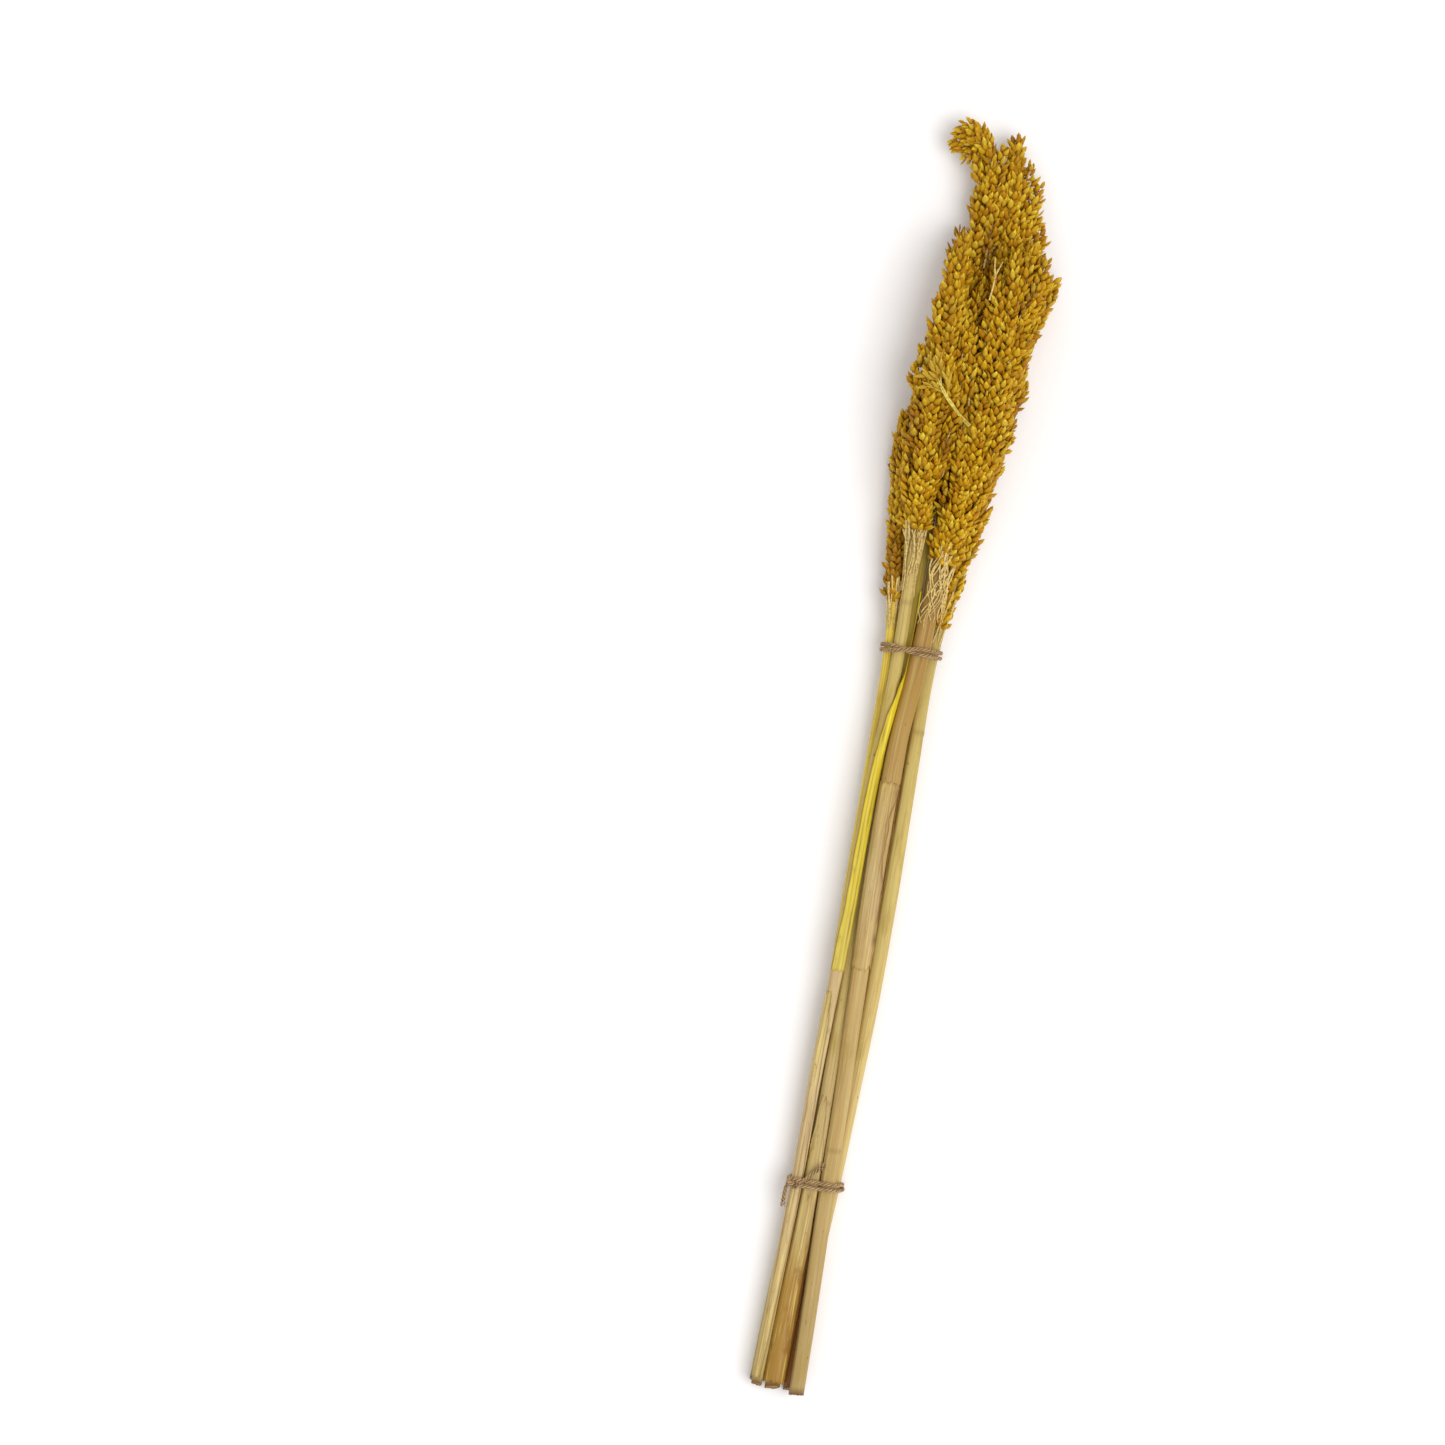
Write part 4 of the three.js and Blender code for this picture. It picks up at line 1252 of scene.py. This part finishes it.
def jute(name):
    """Jute: coarse pale fibres laid along each ply, with painted shade in the crevices between the plies.
    """
    finish = Finish(name, {"Roughness": 0.85, "Sheen Weight": 0.1, "Specular IOR Level": 0.2})
    grain = finish.attribute("grain", out="Vector")
    fibres = finish.cloud(finish.stretched(grain, 0.16 * MM, 5 * MM), detail=3, roughness=0.7)
    drift = finish.cloud(finish.place(), scale=160, detail=2)
    body = finish.mix(finish.between(fibres, 0.34, 0.66), tone(124, 90, 50), tone(224, 188, 138))
    body = finish.mix(finish.between(drift, 0.45, 0.7) * 0.35, body, tone(132, 98, 56))
    # Painted shade in the crevices between the plies.
    body = finish.mix(finish.attribute("crevice") * 0.85, body, tone(58, 36, 16))
    finish.colour(body)
    finish.relief(fibres, 0.2 * MM)
    return finish


def support(place, way):
    """The point where taut twine touches the stems, in a direction round the bundle."""
    found = []
    for name, line in stem_lines.items():
        centre, _, _, _, radius = line.at(line.past(place))
        for node, sheath in SHEATHS.items():
            if sheath["stem"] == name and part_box(node)[0].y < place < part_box(node)[1].y:
                radius += SHEATH_THICKNESS + SHEATH_GAP
        spans = (radius * level(STEMS[name]["widths"], place)[0], radius)
        parts = [abs(span * towards) ** SHARPNESS for span, towards in zip(spans, (way.x, way.z))]
        across, high = (span * (part / sum(parts)) ** (1 / SQUARENESS) for span, part in zip(spans, parts))
        touch = centre + Vector((math.copysign(across, way.x), 0, math.copysign(high, way.z)))
        found.append((touch.dot(way), touch + way * (TWINE / 2 + RIBS)))
    return max(found, key=lambda pair: pair[0])[1]


def plies(path):
    """Three plies twisted round a path, their ends teased apart where the path is a tail."""
    found = []
    for number in range(PLIES):
        points, radii = [], []
        for i in range(math.ceil(path.length / PLY_STEP) + 1):
            along = min(i * PLY_STEP, path.length)
            centre, _, right, up, radius = path.at(along)
            angle = math.tau * (along / TWIST + number / PLIES)
            out = PLY_OUT * radius
            points.append(centre + (right * math.cos(angle) + up * math.sin(angle)) * out)
            radii.append(PLY_RADIUS * (1 if radius < 1.2 else max(0.35, 1.5 - 0.5 * radius)))
        found.append(Line(points, radii, ALONG, steps=1))
    return found


def ply_section(angle, along, radius):
    """A ply's outline: nearly round, with low bumps where its fibres bunch."""
    place = Vector((math.cos(angle), math.sin(angle), along / MM * 0.9))
    return radius * (1 + 0.09 * noise.noise(place * 1.6))


twisted = jute("twisted_jute")
for node, tie in TIES.items():
    # loop: once round the stems; winds: the twine's turns, spread along it and crossing half way; bend: the
    # knot, a closed overhand loop.
    loop = []
    for i in range(LOOP_POINTS + 1):
        angle = tie["knot"] - math.tau * i / LOOP_POINTS
        loop.append(support(tie["at"], Vector((math.sin(angle), 0, math.cos(angle)))))
    for point in loop:
        point.y = tie["at"]
    once = Line(loop, beside=ALONG, steps=1)
    hub = sum(loop, Vector()) / len(loop)
    winds = []
    for i in range(TURN_POINTS * TURNS + 1):
        turns = i / TURN_POINTS
        centre = once.at(once.length * (turns % 1 if turns < TURNS else 1))[0]
        sway = 0.3 * MM * wobble(i / 23, tie["at"] * 100, 0)
        over = OVER["height"] * bump(turns - 0.5, OVER["half"])
        aside = TURNS_APART / 2 * math.tanh(CROSSING * math.cos(math.pi * turns)) + sway
        winds.append(centre + ALONG * aside + (centre - hub).normalized() * over)
    knot_out = Vector((math.sin(tie["knot"]), 0, math.cos(tie["knot"])))
    knot_at = loop[0] + knot_out * KNOT_OUT
    aside = ALONG.cross(knot_out)
    bend = []
    for i in range(KNOT_POINTS + 1):
        t = math.tau * i / KNOT_POINTS * 0.97 + 0.1
        a = (math.sin(t) + 2 * math.sin(2 * t)) / 3
        b = (math.cos(t) - 2 * math.cos(2 * t)) / 3
        c = -math.sin(3 * t)
        bend.append(knot_at + aside * a * KNOT[0] + ALONG * b * KNOT[1] + knot_out * c * KNOT[2])
    paths = [Line(winds, beside=ALONG, steps=1), Line(bend, beside=ALONG, steps=2)]
    for tail in tie["tails"]:
        points = [knot_at] + [knot_at + Vector(p) * MM for p in tail]
        paths.append(Line(points, [1, 1, 1, 1.05, 2.3], steps=10))
    bm = bmesh.new()
    fuzz = []
    for path in paths:
        for ply in plies(path):
            rings = [i * PLY_STEP for i in range(max(4, round(ply.length / PLY_STEP)))]
            strand = rod(ply, PLY_SIDES, rings, ply_section)
            grain = strand.verts.layers.float_vector["grain"]
            crevice = strand.verts.layers.float.new("crevice")
            for vert in strand.verts:
                along = vert[grain].z
                middle = ply.at(along)[0]
                outwards = (middle - path.at(path.length * along / ply.length)[0]).normalized()
                # Painted crevice shade: strongest on the side of each ply that faces the twine's middle.
                vert[crevice] = eased(0.5, -0.25, (vert.co - middle).normalized().dot(outwards))
            part = bpy.data.meshes.new("ply")
            strand.to_mesh(part)
            strand.free()
            bm.from_mesh(part)
            bpy.data.meshes.remove(part)
        for _ in range(round(FUZZ * path.length / (paths[0].length * 1.4))):
            centre, ahead, right, up, radius = path.at(random.uniform(0, path.length))
            angle = random.uniform(0, math.tau)
            out = right * math.cos(angle) + up * math.sin(angle)
            way = (out + ahead * random.uniform(-1.6, 1.6)).normalized() * random.uniform(0.8, 2.2) * MM
            start = centre + out * TWINE * 0.42
            curl = Vector([random.uniform(-0.5, 0.5) * MM for _ in range(3)])
            hair = [start, start + way * 0.5 + curl * 0.5, start + way + curl * 1.6]
            from_hub = centre - hub
            clear = min(out.dot(from_hub), (hair[-1] - start).dot(from_hub)) > 0
            if clear and min(p.z for p in hair) > 0.1 * MM:
                fuzz.append((hair, FUZZ_RADII))
    bm.from_mesh(threads(fuzz))
    made = piece("twine_" + node, bm, twisted)
    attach(made, "root")
    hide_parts(node)
